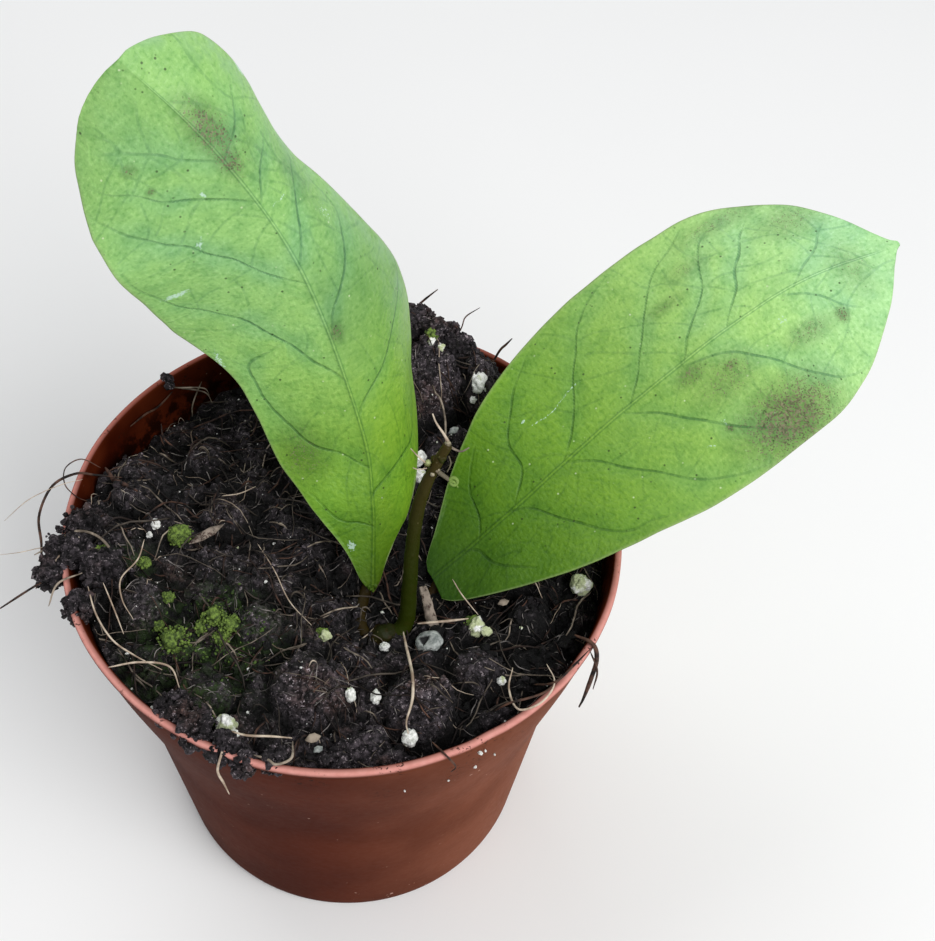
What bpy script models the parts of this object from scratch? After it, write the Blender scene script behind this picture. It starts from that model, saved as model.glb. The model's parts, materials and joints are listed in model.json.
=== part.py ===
"""Potted hoya: a young two-leaved cutting in a 12 cm nursery pot filled with peat mix.

Metres, +Z up. The origin is the middle of the pot's bottom, and the plant's two blades
spread along X. Sizes below are in millimetres and become metres where a mesh is made.
"""

import math

import bmesh
import bpy
import numpy as np
from mathutils import Vector, noise

MM = 0.001
GAP = 0.35  # clearance between neighbouring pieces

# Pot: a turned shell with a proud lip
RIM_RADIUS = 60.0
POT_HEIGHT = 104.0
LIP_WIDTH = 1.7
LIP_DEPTH = 1.3
BASE_RADIUS = 44.3
TAPER = 0.1  # how much wider per millimetre of height
FLARE = 4.8  # the further widening of the upper half
FLARE_START = 50.0
WALL = 1.2
FOOT_OUTER = 43.2
FOOT_INNER = 36.0
GROOVE_INNER = 22.0
GROOVE_DEPTH = 2.3
DRAIN_HOLES = 6
DRAIN_RADIUS = 4.0
DRAIN_SIDES = 12
POT_STEPS = 48

# Soil: its level, then broad mounds and dips as (x, y, rise, spread)
SOIL_LEVEL = 96.5
SOIL_STEPS = 54
SOIL_RINGS = (0.95, 0.88, 0.81, 0.74, 0.66, 0.58, 0.5, 0.41, 0.32, 0.22, 0.12)
SOIL_SLACK = 0.25  # further in than the gap, so that the turned faces stay clear
MOUNDS = (
    (10, 49, 20, 9),
    (26, 44, 10, 9),
    (14, 30, 5, 12),
    (-41, 34, -4.5, 12),
    (-58, -6, 8, 14),
    (-30, -16, 4, 15),
    (-12, -38, 3, 12),
    (22, -36, 3, 9),
    (8, -18, -4, 7),
    (24, -11, -3, 6),
)
EDGE_DROP = 2.5
EDGE_WIDTH = 4.0
# Clods that stand in the surface as domes: x, y, radius, rise
CLODS = (
    (-3, -38, 9.0, 3.6),
    (20, -40, 8.5, 3.4),
    (31, -31, 7.0, 3.0),
    (-15, -25, 6.5, 2.4),
    (-27, 3, 6.5, 2.6),
    (-40, -24, 7.0, 2.6),
    (-24, -41, 6.5, 2.6),
    (41, -16, 6.0, 2.4),
    (15, 36, 8.0, 3.4),
    (29, 38, 7.0, 3.0),
    (21, 24, 6.5, 2.8),
    (-12, 19, 7.0, 2.6),
    (-35, 21, 6.5, 2.6),
    (37, 24, 6.0, 2.4),
    (46, 8, 5.5, 2.2),
    (-47, 4, 6.0, 2.4),
    (4, -5, 6.5, 2.2),
    (0, 38, 6.5, 2.6),
)
CRUMB_RISE = 2.0
CRUMB_SIZE = 8.0
# Peat that spills over the lip: x, y, z, radius
SPILLS = (
    (-55.0, -7, 104.2, 5.0),
    (-56.5, -14, 103.6, 5.4),
    (-57.6, -21, 102.0, 4.6),
    (-52.5, -28, 103.2, 5.0),
    (-49.0, -16, 103.0, 6.0),
    (-60.6, -17.5, 100.6, 2.8),
    (-23.0, -52.0, 103.2, 4.6),
    (-17.0, -55.5, 102.8, 4.4),
    (-12.0, -58.0, 102.2, 3.6),
    (-7.0, -57.4, 103.0, 3.2),
    (-28.0, -48.0, 102.6, 4.2),
)
# White grains of perlite: x, y, radius
GRAINS = (
    (-17.9, -50.0, 2.9),
    (24.5, 12.5, 2.2),
    (29.0, -21.0, 2.4),
    (17.6, -46.5, 1.7),
    (3.5, -36.0, 1.4),
    (9.0, -36.5, 1.5),
    (19.5, 46.5, 2.2),
    (44.0, -10.0, 2.2),
    (-39.0, -2.0, 1.6),
    (-35.5, -4.0, 2.2),
    (-35.0, -44.0, 1.8),
    (36.0, 37.0, 2.0),
    (-31.5, -30.0, 2.9),
    (-20.0, -24.0, 2.6),
)

# Cutting: a buried length of old stem, and the young shoot that grew from its node
NODE_POINT = (10.5, -21.5, 93.5)
NODE_RADIUS = 3.1
OLD_STEM = ((10.5, -21.5, 94.6), (10.0, -20.8, 86), (8.8, -19, 74), (7.5, -17, 60))
OLD_STEM_RADIUS = 2.5
SHOOT = (
    (10.5, -21.5, 93.0),
    (13.2, -20.8, 93.6),
    (14.9, -19.0, 96.5),
    (15.2, -16.4, 104),
    (15.3, -13.0, 113),
    (15.8, -10.2, 121),
    (17.2, -8.0, 128.5),
    (19.3, -6.2, 134.0),
    (21.2, -4.6, 138.0),
)
SHOOT_RADII = (2.1, 1.8, 1.65, 1.55, 1.45, 1.35, 1.25, 1.2, 1.3)
# Buds at the shoot's tip: centre, radius, stretch along Z
BUDS = (
    ((21.3, -4.4, 138.4), 1.9, 1.1),
    ((18.0, -6.9, 133.8), 1.5, 1.2),
    ((19.6, -7.4, 132.2), 1.3, 1.0),
)
SIDE_ROOT = ((19.0, -6.6, 133.0), (20.8, -8.4, 131.6), (22.4, -9.6, 129.8), (23.2, -9.4, 129.2))
SIDE_ROOT_RADIUS = 0.75

# Leaf blades: points of the midrib, and across it half widths and turns by place along it
BLADE_THICKNESS = 1.3
BLADE_LENGTH_FACES = 26
BLADE_WIDTH_FACES = 10
WIDTH_PLACES = (0, 0.05, 0.12, 0.25, 0.4, 0.55, 0.7, 0.82, 0.92, 0.97, 0.99, 1)
TURN_PLACES = (0, 0.25, 0.5, 0.75, 1)
LEAVES = {
    "leaf_left": {
        "midrib": (
            (7.5, -10.5, 98),
            (3, 6, 129),
            (-8.5, 12.5, 165),
            (-22, 13, 191),
            (-37, 14, 209.5),
        ),
        "facing": ((0.19, -0.94, 0.28), (0.19, -0.94, 0.28), (0.19, -0.94, 0.28)),
        "left_width": (2.4, 5.4, 12.5, 20.5, 23, 28.6, 28.6, 27.8, 21.3, 14.2, 8.5, 1),
        "right_width": (2.4, 5.3, 16, 24, 28, 22.5, 18, 20, 16, 9.2, 6, 1),
        "left_turn": (-5, -6, -9, 1, -15),
        "right_turn": (-37, -58, -51, -65, -43),
        "petiole": ((7.5, -10.6, 98.2), (6.6, -14.5, 96.2), (5.9, -19.0, 94.4), (7.4, -21.6, 93.4)),
        "petiole_radii": (1.7, 1.9, 2.0, 2.0),
    },
    "leaf_right": {
        "midrib": (
            (21, -7.5, 98),
            (37.5, 4.5, 110),
            (58.5, 21, 124.5),
            (88, 40, 142.5),
            (114, 52.5, 148.5),
        ),
        "facing": ((-0.4, -0.38, 0.83), (-0.38, -0.34, 0.86), (-0.2, -0.26, 0.94)),
        "left_width": (2.4, 9.8, 16, 23.3, 27.8, 29.8, 29.6, 24, 14.5, 6, 2.6, 0.7),
        "right_width": (5, 11.4, 16.6, 23.6, 28.2, 29.8, 29.2, 25, 14, 5.4, 1.8, 0.7),
        "left_turn": (-2, 3, 0, -5, -8),
        "right_turn": (7, 4, -7, -10, 0),
        "petiole": ((21.2, -7.6, 98.1), (19.4, -11.0, 95.6), (17.0, -16.0, 92.6), (13.6, -19.8, 91.6)),
        "petiole_radii": (1.7, 1.9, 2.0, 2.0),
    },
}

# Loose bits on the soil: a flake of bark and a pale ring of clay
BARK_ENDS = ((17.6, -11.8, 98.6), (20.9, -21.4, 95.6))
BARK_SIZE = (1.9, 1.0)
PEBBLE_PLACE = (20.2, -24.4, 96.6)
PEBBLE_RADII = (2.9, 2.0)


def clear_scene():
    for item in list(bpy.data.objects):
        bpy.data.objects.remove(item)


def new_collection(name):
    collection = bpy.data.collections.new(name)
    bpy.context.scene.collection.children.link(collection)
    return collection


def material(name, colour, roughness):
    """One Principled finish, plain plant or plastic, never metallic."""
    made = bpy.data.materials.new(name)
    made.use_nodes = True
    shader = made.node_tree.nodes["Principled BSDF"]
    shader.inputs["Base Color"].default_value = (*colour, 1)
    shader.inputs["Roughness"].default_value = roughness
    shader.inputs["Metallic"].default_value = 0.0
    return made


def add_object(name, mesh, collection, finish=None):
    item = bpy.data.objects.new(name, mesh)
    collection.objects.link(item)
    if finish:
        mesh.materials.append(finish)
    return item


def bake(item):
    """Gives the object the mesh that its modifiers make, and drops them."""
    graph = bpy.context.evaluated_depsgraph_get()
    made = bpy.data.meshes.new_from_object(item.evaluated_get(graph))
    item.modifiers.clear()
    item.data = made
    return item


def turned(name, profile, steps, collection, finish=None):
    """A profile of (radius, height) turned about Z. It runs down the outside."""
    mesh = bpy.data.meshes.new(name)
    points = [(radius * MM, 0, height * MM) for radius, height in profile]
    mesh.from_pydata(points, [(i, i + 1) for i in range(len(points) - 1)], [])
    item = add_object(name, mesh, collection, finish)
    screw = item.modifiers.new("turn", "SCREW")
    screw.steps = steps
    screw.render_steps = steps
    screw.use_merge_vertices = True
    screw.merge_threshold = 0.00001
    return item


def boolean(item, other, operation, solver="EXACT"):
    """other is one object, or a collection of them."""
    cut = item.modifiers.new(operation.lower(), "BOOLEAN")
    cut.operation = operation
    cut.solver = solver
    if isinstance(other, bpy.types.Collection):
        cut.operand_type = "COLLECTION"
        cut.collection = other
    else:
        cut.object = other
    return cut


def remove_all(collection):
    for item in list(collection.objects):
        bpy.data.objects.remove(item)


def merge_into(item, collection, operation, solver="EXACT"):
    """Joins or cuts the item with all of the collection's objects, which are then removed."""
    boolean(item, collection, operation, solver)
    bpy.context.view_layer.update()
    bake(item)
    remove_all(collection)


def smooth_through(points, places):
    """Points at these shares of the length of one smooth curve through the given points."""
    given = np.asarray(points, float)
    padded = np.vstack([2 * given[0] - given[1], given, 2 * given[-1] - given[-2]])
    place = np.linspace(0, len(given) - 1, 24 * len(given))
    start = np.minimum(place.astype(int), len(given) - 2)
    t = (place - start)[:, None]
    a, b, c, d = (padded[start + i] for i in range(4))
    bow = (2 * a - 5 * b + 4 * c - d) * t**2
    fine = 0.5 * (2 * b + (c - a) * t + bow + (3 * b - a - 3 * c + d) * t**3)
    run = np.append(0, np.cumsum(np.linalg.norm(np.diff(fine, axis=0), axis=1)))
    return np.stack([np.interp(places * run[-1], run, axis) for axis in fine.T], 1)


def tube(name, points, radii, collection, finish=None, grow=0.0, count=14):
    """A round stalk along a smooth curve, thicker or thinner along its length, as a closed mesh.

    grow makes it fatter and longer by that much all round, as the room for such a stalk.
    """
    along = np.linspace(0, 1, count)
    path = smooth_through(points, along)
    path[0] += grow * (path[0] - path[1]) / np.linalg.norm(path[0] - path[1])
    path[-1] += grow * (path[-1] - path[-2]) / np.linalg.norm(path[-1] - path[-2])
    thick = np.interp(along, np.linspace(0, 1, len(radii)), radii)
    curve = bpy.data.curves.new(name, "CURVE")
    curve.dimensions = "3D"
    curve.bevel_depth = MM
    curve.bevel_resolution = 2
    curve.use_fill_caps = True
    spline = curve.splines.new("POLY")
    spline.points.add(count - 1)
    for point, place, radius in zip(spline.points, path, thick):
        point.co = (*(place * MM), 1)
        point.radius = float(radius) + grow
    holder = bpy.data.objects.new(name + "_path", curve)
    collection.objects.link(holder)
    bpy.context.view_layer.update()
    graph = bpy.context.evaluated_depsgraph_get()
    mesh = bpy.data.meshes.new_from_object(holder.evaluated_get(graph))
    bpy.data.objects.remove(holder)
    work = bmesh.new()
    work.from_mesh(mesh)
    bmesh.ops.remove_doubles(work, verts=work.verts, dist=0.000001)
    bmesh.ops.recalc_face_normals(work, faces=work.faces)
    work.to_mesh(mesh)
    work.free()
    return add_object(name, mesh, collection, finish)


def lump(name, centre, radius, collection, detail=2, rough=0.22, stretch=(1, 1, 1), seed=0):
    """A rounded lump: a ball whose points are pushed in and out by noise."""
    work = bmesh.new()
    bmesh.ops.create_icosphere(work, subdivisions=detail, radius=1)
    for vertex in work.verts:
        push = noise.noise(vertex.co * 1.3 + Vector((seed * 3.7, seed * 1.9, seed * 5.3)))
        size = radius * (1 + rough * 2 * push)
        shaped = [c + v * s * size for c, v, s in zip(centre, vertex.co, stretch)]
        vertex.co = Vector(shaped) * MM
    mesh = bpy.data.meshes.new(name)
    work.to_mesh(mesh)
    work.free()
    return add_object(name, mesh, collection)


def wall_radius(height):
    """The outside of the wall: a steady taper, and a bell-like flare that eases in above it."""
    ease = np.clip((np.asarray(height, float) - FLARE_START) / (POT_HEIGHT - FLARE_START), 0, 1)
    return BASE_RADIUS + TAPER * height + FLARE * ease**2 * (3 - 2 * ease)


def wall_heights():
    """Heights from foot to lip, close together where the wall curves."""
    return [2.2, FLARE_START] + [FLARE_START + 10.0 * i for i in range(1, 5)] + [lip_foot() - 0.4]


def lip_foot():
    return POT_HEIGHT - LIP_DEPTH


def outer_side():
    """The pot's outside from lip to foot, as (radius, height)."""
    wall = [(float(wall_radius(z)), z) for z in reversed(wall_heights())]
    return [
        (RIM_RADIUS - 0.3, POT_HEIGHT),
        (RIM_RADIUS, POT_HEIGHT - 0.3),
        (RIM_RADIUS, lip_foot()),
        *wall,
        (BASE_RADIUS - 0.5, 0.6),
        (FOOT_OUTER, 0),
    ]


def inner_side():
    """The pot's inside from floor edge to lip."""
    wall = [(float(wall_radius(z)) - WALL, z) for z in wall_heights()]
    return [
        (FOOT_OUTER - 0.6, WALL),
        *wall,
        (RIM_RADIUS - LIP_WIDTH, POT_HEIGHT - 0.5),
        (RIM_RADIUS - LIP_WIDTH + 0.2, POT_HEIGHT),
    ]


def pot_floor():
    """The floor's upper side, from the middle out."""
    rise = GROOVE_DEPTH + WALL
    return [
        (0, WALL),
        (GROOVE_INNER - 1.6, WALL),
        (GROOVE_INNER, rise),
        (FOOT_INNER - 1.0, rise),
        (FOOT_INNER + 0.6, WALL),
    ]


def pot_underside():
    """From the foot ring in to the middle, with the raised ring that holds the drain holes."""
    return [
        (FOOT_INNER, 0),
        (FOOT_INNER - 1.6, GROOVE_DEPTH),
        (GROOVE_INNER + 1.0, GROOVE_DEPTH),
        (GROOVE_INNER - 1.2, 0),
        (0, 0),
    ]


def make_pot(collection, finish):
    profile = pot_floor() + inner_side() + outer_side() + pot_underside()
    pot = turned("pot", profile, POT_STEPS, collection, finish)
    ring = (GROOVE_INNER + FOOT_INNER) / 2
    drills = new_collection("drills")
    for i in range(DRAIN_HOLES):
        angle = math.tau * (i + 0.5) / DRAIN_HOLES
        profile = [(0, 9), (DRAIN_RADIUS, 9), (DRAIN_RADIUS, -3), (0, -3)]
        drill = turned(f"drill_{i}", profile, DRAIN_SIDES, drills)
        drill.location = (ring * math.cos(angle) * MM, ring * math.sin(angle) * MM, 0)
    merge_into(pot, drills, "DIFFERENCE")
    return pot


def inner_radius(height):
    """The pot's inside radius at a height, less the gap."""
    radii, heights = zip(*inner_side())
    return np.interp(height, heights, radii) - GAP


def soil_height(x, y):
    """The peat's surface: a level, its mounds and dips, its clods, and a fall at the wall."""
    height = np.full_like(x, SOIL_LEVEL)
    for mx, my, rise, spread in MOUNDS:
        height += rise * np.exp(-((x - mx) ** 2 + (y - my) ** 2) / (2 * spread**2))
    for cx, cy, radius, rise in CLODS:
        near = ((x - cx) ** 2 + (y - cy) ** 2) / radius**2
        height += rise * np.clip(1 - near, 0, 1) ** 0.7
    reach = np.hypot(x, y)
    edge = inner_radius(SOIL_LEVEL) - EDGE_WIDTH
    height -= EDGE_DROP * np.clip((reach - edge) / EDGE_WIDTH, 0, 1)
    return height


def crumb(x, y):
    """Crumbly relief: two sizes of noise, the finer one a little over half as high."""
    relief = np.zeros(x.size)
    for size, share in ((CRUMB_SIZE, 1.0), (CRUMB_SIZE * 0.45, 0.6)):
        places = [Vector((a, b, size)) / size for a, b in zip(x.flat, y.flat)]
        relief += share * np.array([noise.noise(place) for place in places])
    return CRUMB_RISE * relief.reshape(x.shape)


def circle(radius, height, turn=0.0):
    angle = (np.arange(SOIL_STEPS) + turn) * math.tau / SOIL_STEPS
    level = np.broadcast_to(height, angle.shape)
    return np.stack([radius * np.cos(angle), radius * np.sin(angle), level], 1)


def soil_rings():
    """Rings of points over the peat: out along the floor, up the wall, then in over the top."""
    floor = [(radius, height + GAP) for radius, height in pot_floor()[1:]]
    floor[0] = (floor[0][0] - GAP, floor[0][1])
    floor[-1] = (floor[-1][0] + GAP, floor[-1][1])
    rings = [circle(radius, height) for radius, height in floor]
    low = 3.0 + GAP
    reach = float(inner_radius(SOIL_LEVEL))
    edge = circle(reach, 0)
    top = soil_height(edge[:, 0], edge[:, 1]) + 0.5 * crumb(edge[:, 0], edge[:, 1])
    for share in (0, 0.5, 0.62, 0.74, 0.87, 1.0):
        height = low + (top - low) * share
        rings.append(circle(inner_radius(height) - SOIL_SLACK, height))
    for i, share in enumerate(SOIL_RINGS):
        ring = circle(reach * share, 0, 0.5 * (i % 2))
        ring[:, 2] = soil_height(ring[:, 0], ring[:, 1]) + crumb(ring[:, 0], ring[:, 1])
        rings.append(ring)
    return rings


def make_soil_body(collection, finish):
    """A plug that fills the pot, skinned over its rings and closed at both middles."""
    work = bmesh.new()
    loops = [[work.verts.new(point * MM) for point in ring] for ring in soil_rings()]
    work.faces.new(list(reversed(loops[0])))
    for low, high in zip(loops, loops[1:]):
        for i in range(SOIL_STEPS):
            j = (i + 1) % SOIL_STEPS
            work.faces.new((low[i], low[j], high[j], high[i]))
    middle = work.verts.new((0, 0, surface_at(0, 0) * MM))
    for i in range(SOIL_STEPS):
        work.faces.new((loops[-1][i], loops[-1][(i + 1) % SOIL_STEPS], middle))
    bmesh.ops.triangulate(work, faces=[face for face in work.faces if len(face.verts) == 4])
    mesh = bpy.data.meshes.new("soil")
    work.to_mesh(mesh)
    work.free()
    return add_object("soil", mesh, collection, finish)


def surface_at(x, y):
    x, y = np.array([float(x)]), np.array([float(y)])
    return float((soil_height(x, y) + crumb(x, y))[0])


def make_soil(collection, finish):
    """The peat with its spills and perlite grown on, trimmed clear of the pot's lip."""
    soil = make_soil_body(collection, finish)
    lumps = new_collection("lumps")
    for i, (x, y, z, radius) in enumerate(SPILLS):
        detail = 2 if radius > 4 else 1
        lump(f"spill_{i}", (x, y, z), radius, lumps, detail, rough=0.16, seed=30 + i)
    for i, (x, y, radius) in enumerate(GRAINS):
        centre = (x, y, surface_at(x, y) + radius * 0.3)
        lump(f"grain_{i}", centre, radius, lumps, detail=1, rough=0.2, seed=60 + i)
    merge_into(soil, lumps, "UNION", "MANIFOLD")
    trim = new_collection("trim")
    rim_cutter(trim)
    merge_into(soil, trim, "DIFFERENCE")
    return soil


def rim_cutter(collection):
    """The top of the wall and its lip grown by the gap, which trims the peat that spills over it."""
    inside = [(radius - GAP, height) for radius, height in inner_side() if height > 88]
    outside = [(radius + GAP, height) for radius, height in outer_side() if height > 88]
    outside[0] = (RIM_RADIUS + GAP, POT_HEIGHT + GAP)
    outside[1] = (RIM_RADIUS + GAP, lip_foot() - GAP)
    inside[-1] = (inside[-1][0], POT_HEIGHT + GAP)
    profile = inside + outside[:2] + outside[3:]
    return turned("rim_room", profile + profile[:1], POT_STEPS, collection)


def blade_grid(leaf):
    """The blade's upper face: points [along, across], a smooth midrib carried sideways in two arcs.

    Across the blade each half leaves the midrib at half its turn and ends at one and a half
    times it, so that the halves arch over the midrib like a saddle cloth.
    """
    even = np.linspace(0, 1, BLADE_LENGTH_FACES + 1)
    along = 0.4 * even + 0.3 * (1 - np.cos(math.pi * even))
    rib = smooth_through(leaf["midrib"], along)
    heading = np.gradient(rib, axis=0)
    heading /= np.linalg.norm(heading, axis=1)[:, None]
    facing = np.stack([np.interp(along, (0, 0.5, 1), axis) for axis in zip(*leaf["facing"])], 1)
    facing -= (facing * heading).sum(1)[:, None] * heading
    facing /= np.linalg.norm(facing, axis=1)[:, None]
    sideways = np.cross(heading, facing)
    grid = np.empty((len(along), BLADE_WIDTH_FACES + 1, 3))
    half = BLADE_WIDTH_FACES // 2
    for side, name in ((-1, "left"), (1, "right")):
        width = ease_through(WIDTH_PLACES, leaf[name + "_width"], along)
        turn = np.radians(ease_through(TURN_PLACES, leaf[name + "_turn"], along))
        middle = (np.arange(half) + 0.5) / half
        slope = turn[:, None] * (0.5 + middle)
        out = np.cumsum(np.cos(slope), 1) / half * width[:, None]
        rise = np.cumsum(np.sin(slope), 1) / half * width[:, None]
        offset = side * out[..., None] * sideways[:, None] + rise[..., None] * facing[:, None]
        grid[:, half + side * (np.arange(half) + 1)] = rib[:, None] + offset
    grid[:, half] = rib
    return grid


def ease_through(places, values, wanted):
    """A curve through values at places with no overshoot: each span is eased by its end slopes."""
    places, values = np.asarray(places, float), np.asarray(values, float)
    step = np.diff(places)
    rate = np.diff(values) / step
    slope = np.zeros_like(values)
    same = rate[:-1] * rate[1:] > 0
    mean = 2 * rate[:-1] * rate[1:] / np.where(same, rate[:-1] + rate[1:], 1)
    slope[1:-1] = np.where(same, mean, 0)
    slope[0], slope[-1] = rate[0], rate[-1]
    span = np.clip(np.searchsorted(places, wanted, side="right") - 1, 0, len(step) - 1)
    t = (wanted - places[span]) / step[span]
    h = step[span]
    start, end = values[span], values[span + 1]
    return (
        start * (1 + 2 * t) * (1 - t) ** 2
        + end * t**2 * (3 - 2 * t)
        + h * slope[span] * t * (1 - t) ** 2
        - h * slope[span + 1] * t**2 * (1 - t)
    )


def make_leaf(name, leaf, collection, finish):
    """A blade of even thickness on the grid, joined to its short stalk."""
    grid = blade_grid(leaf)
    rows, columns = grid.shape[:2]
    work = bmesh.new()
    points = [[work.verts.new(place * MM) for place in row] for row in grid]
    for i in range(rows - 1):
        for j in range(columns - 1):
            corners = (points[i][j], points[i][j + 1], points[i + 1][j + 1], points[i + 1][j])
            work.faces.new(corners)
    bmesh.ops.triangulate(work, faces=work.faces)
    mesh = bpy.data.meshes.new(name)
    work.to_mesh(mesh)
    work.free()
    blade = add_object(name, mesh, collection, finish)
    wall = blade.modifiers.new("thickness", "SOLIDIFY")
    wall.thickness = BLADE_THICKNESS * MM
    wall.offset = -1
    bpy.context.view_layer.update()
    bake(blade)
    stalk = tube(name + "_stalk", leaf["petiole"], leaf["petiole_radii"], collection, count=8)
    boolean(blade, stalk, "UNION")
    bpy.context.view_layer.update()
    bake(blade)
    bpy.data.objects.remove(stalk)
    blade.data.shade_smooth()
    return blade


def stem_pieces(collection, grow=0.0):
    """The old stem and the node at its head; with grow, the room for them."""
    tube("old_stem", OLD_STEM, (OLD_STEM_RADIUS,) * 2, collection, count=8, grow=grow)
    lump("node", NODE_POINT, NODE_RADIUS + grow, collection, rough=0.08, stretch=(1.15, 1, 0.8))


def make_stem(collection, finish):
    stem = tube("stem", SHOOT, SHOOT_RADII, collection, finish, count=22)
    parts = new_collection("stem_parts")
    stem_pieces(parts)
    tube("side_root", SIDE_ROOT, (SIDE_ROOT_RADIUS,) * 2, parts, count=6)
    for i, (centre, radius, tall) in enumerate(BUDS):
        lump(f"bud_{i}", centre, radius, parts, rough=0.12, stretch=(1, 1, tall), seed=90 + i)
    merge_into(stem, parts, "UNION")
    sockets = new_collection("sockets")
    for name, leaf in LEAVES.items():
        tube(name + "_socket", leaf["petiole"], leaf["petiole_radii"], sockets, grow=GAP, count=8)
    merge_into(stem, sockets, "DIFFERENCE")
    keep_largest(stem)
    stem.data.shade_smooth()
    return stem


def make_bark(collection, finish):
    """A flat splinter of bark, a box drawn out between its ends and thinned to a point."""
    start, end = (Vector(point) for point in BARK_ENDS)
    work = bmesh.new()
    bmesh.ops.create_cube(work, size=1)
    bmesh.ops.subdivide_edges(work, edges=work.edges, cuts=2, use_grid_fill=True)
    length = (end - start).length
    for vertex in work.verts:
        place = vertex.co.x + 0.5
        taper = 1 - 0.35 * (1 - place) ** 2
        bend = 0.25 * math.sin(7 * place)
        vertex.co = Vector((
            (place - 0.5) * length,
            vertex.co.y * BARK_SIZE[0] * taper + bend,
            vertex.co.z * BARK_SIZE[1],
        )) * MM
    mesh = bpy.data.meshes.new("bark_chip")
    work.to_mesh(mesh)
    work.free()
    bark = add_object("bark_chip", mesh, collection, finish)
    bark.location = (start + end) / 2 * MM
    bark.rotation_euler = (end - start).to_track_quat("X", "Z").to_euler()
    return bark


def make_pebble(collection, finish):
    """A worn ring of fired clay, lying nearly flat."""
    work = bmesh.new()
    outer, thick = PEBBLE_RADII
    bmesh.ops.create_uvsphere(work, u_segments=18, v_segments=10, radius=1)
    for vertex in work.verts:
        reach = math.hypot(vertex.co.x, vertex.co.y)
        dish = 0.75 * math.exp(-((reach / 0.42) ** 2)) if vertex.co.z > 0 else 0
        push = 1 + 0.1 * noise.noise(vertex.co * 1.7)
        vertex.co = Vector((
            vertex.co.x * outer * push,
            vertex.co.y * outer * 0.85 * push,
            (vertex.co.z - dish) * thick,
        )) * MM
    mesh = bpy.data.meshes.new("clay_pebble")
    work.to_mesh(mesh)
    work.free()
    pebble = add_object("clay_pebble", mesh, collection, finish)
    pebble.location = Vector(PEBBLE_PLACE) * MM
    pebble.rotation_euler = (math.radians(14), math.radians(-8), 0)
    return pebble


def grown_copy(item, collection, by):
    """A copy pushed out along its normals, which leaves the gap round what stands in the soil."""
    mesh = item.data.copy()
    for vertex, normal in zip(mesh.vertices, [n.vector.copy() for n in mesh.vertex_normals]):
        vertex.co = vertex.co + normal * by * MM
    copy = add_object(item.name + "_room", mesh, collection)
    copy.matrix_world = item.matrix_world
    return copy


def seat_in_soil(soil, loose_pieces):
    """Plain holes in the peat for the stalks, and a seat for each loose piece, all with the gap."""
    room = GAP * 1.3
    stalks = new_collection("stalk_rooms")
    for name, leaf in LEAVES.items():
        tube(name + "_room", leaf["petiole"], leaf["petiole_radii"], stalks, grow=room, count=8)
    tube("shoot_room", SHOOT[:6], SHOOT_RADII[:6], stalks, grow=room, count=12)
    stem_pieces(stalks, grow=room)
    for piece in loose_pieces:
        grown_copy(piece, stalks, room)
    bpy.context.view_layer.update()
    merge_into(soil, stalks, "DIFFERENCE")
    keep_largest(soil)


def keep_largest(item):
    """Drops any crumb that a cut left loose."""
    work = bmesh.new()
    work.from_mesh(item.data)
    work.verts.ensure_lookup_table()
    seen, groups = set(), []
    for first in work.verts:
        if first in seen:
            continue
        group, queue = [], [first]
        seen.add(first)
        while queue:
            vertex = queue.pop()
            group.append(vertex)
            for edge in vertex.link_edges:
                other = edge.other_vert(vertex)
                if other not in seen:
                    seen.add(other)
                    queue.append(other)
        groups.append(group)
    groups.sort(key=len)
    for group in groups[:-1]:
        bmesh.ops.delete(work, geom=group, context="VERTS")
    work.to_mesh(item.data)
    work.free()


def main():
    clear_scene()
    hoya = new_collection("potted_hoya")
    plastic = material("terracotta_plastic", (0.36, 0.105, 0.06), 0.5)
    peat = material("peat", (0.022, 0.016, 0.012), 0.95)
    leaf_green = material("leaf_green", (0.09, 0.30, 0.035), 0.4)
    stem_green = material("stem_green", (0.06, 0.055, 0.025), 0.55)
    bark_tan = material("bark_tan", (0.42, 0.27, 0.16), 0.8)
    clay_grey = material("clay_grey", (0.35, 0.36, 0.35), 0.7)

    make_pot(hoya, plastic)
    soil = make_soil(hoya, peat)
    for name, leaf in LEAVES.items():
        make_leaf(name, leaf, hoya, leaf_green)
    make_stem(hoya, stem_green)
    bark = make_bark(hoya, bark_tan)
    pebble = make_pebble(hoya, clay_grey)
    bpy.context.view_layer.update()
    seat_in_soil(soil, [bark, pebble])


main()
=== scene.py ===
# %% [markdown]
# # A potted hoya cutting
#
# The real thing is a young hoya: two broad, fleshy leaves and a thin shoot that stand in a
# plastic nursery pot of dark peat mix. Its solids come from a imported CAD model. Here each solid
# gets a finer surface of the same form, and the roots, moss, crumbs, veins and colours that the
# solids leave out.

import json
import math

import bmesh
import bpy
import numpy as np
from mathutils import Matrix, Vector

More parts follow.
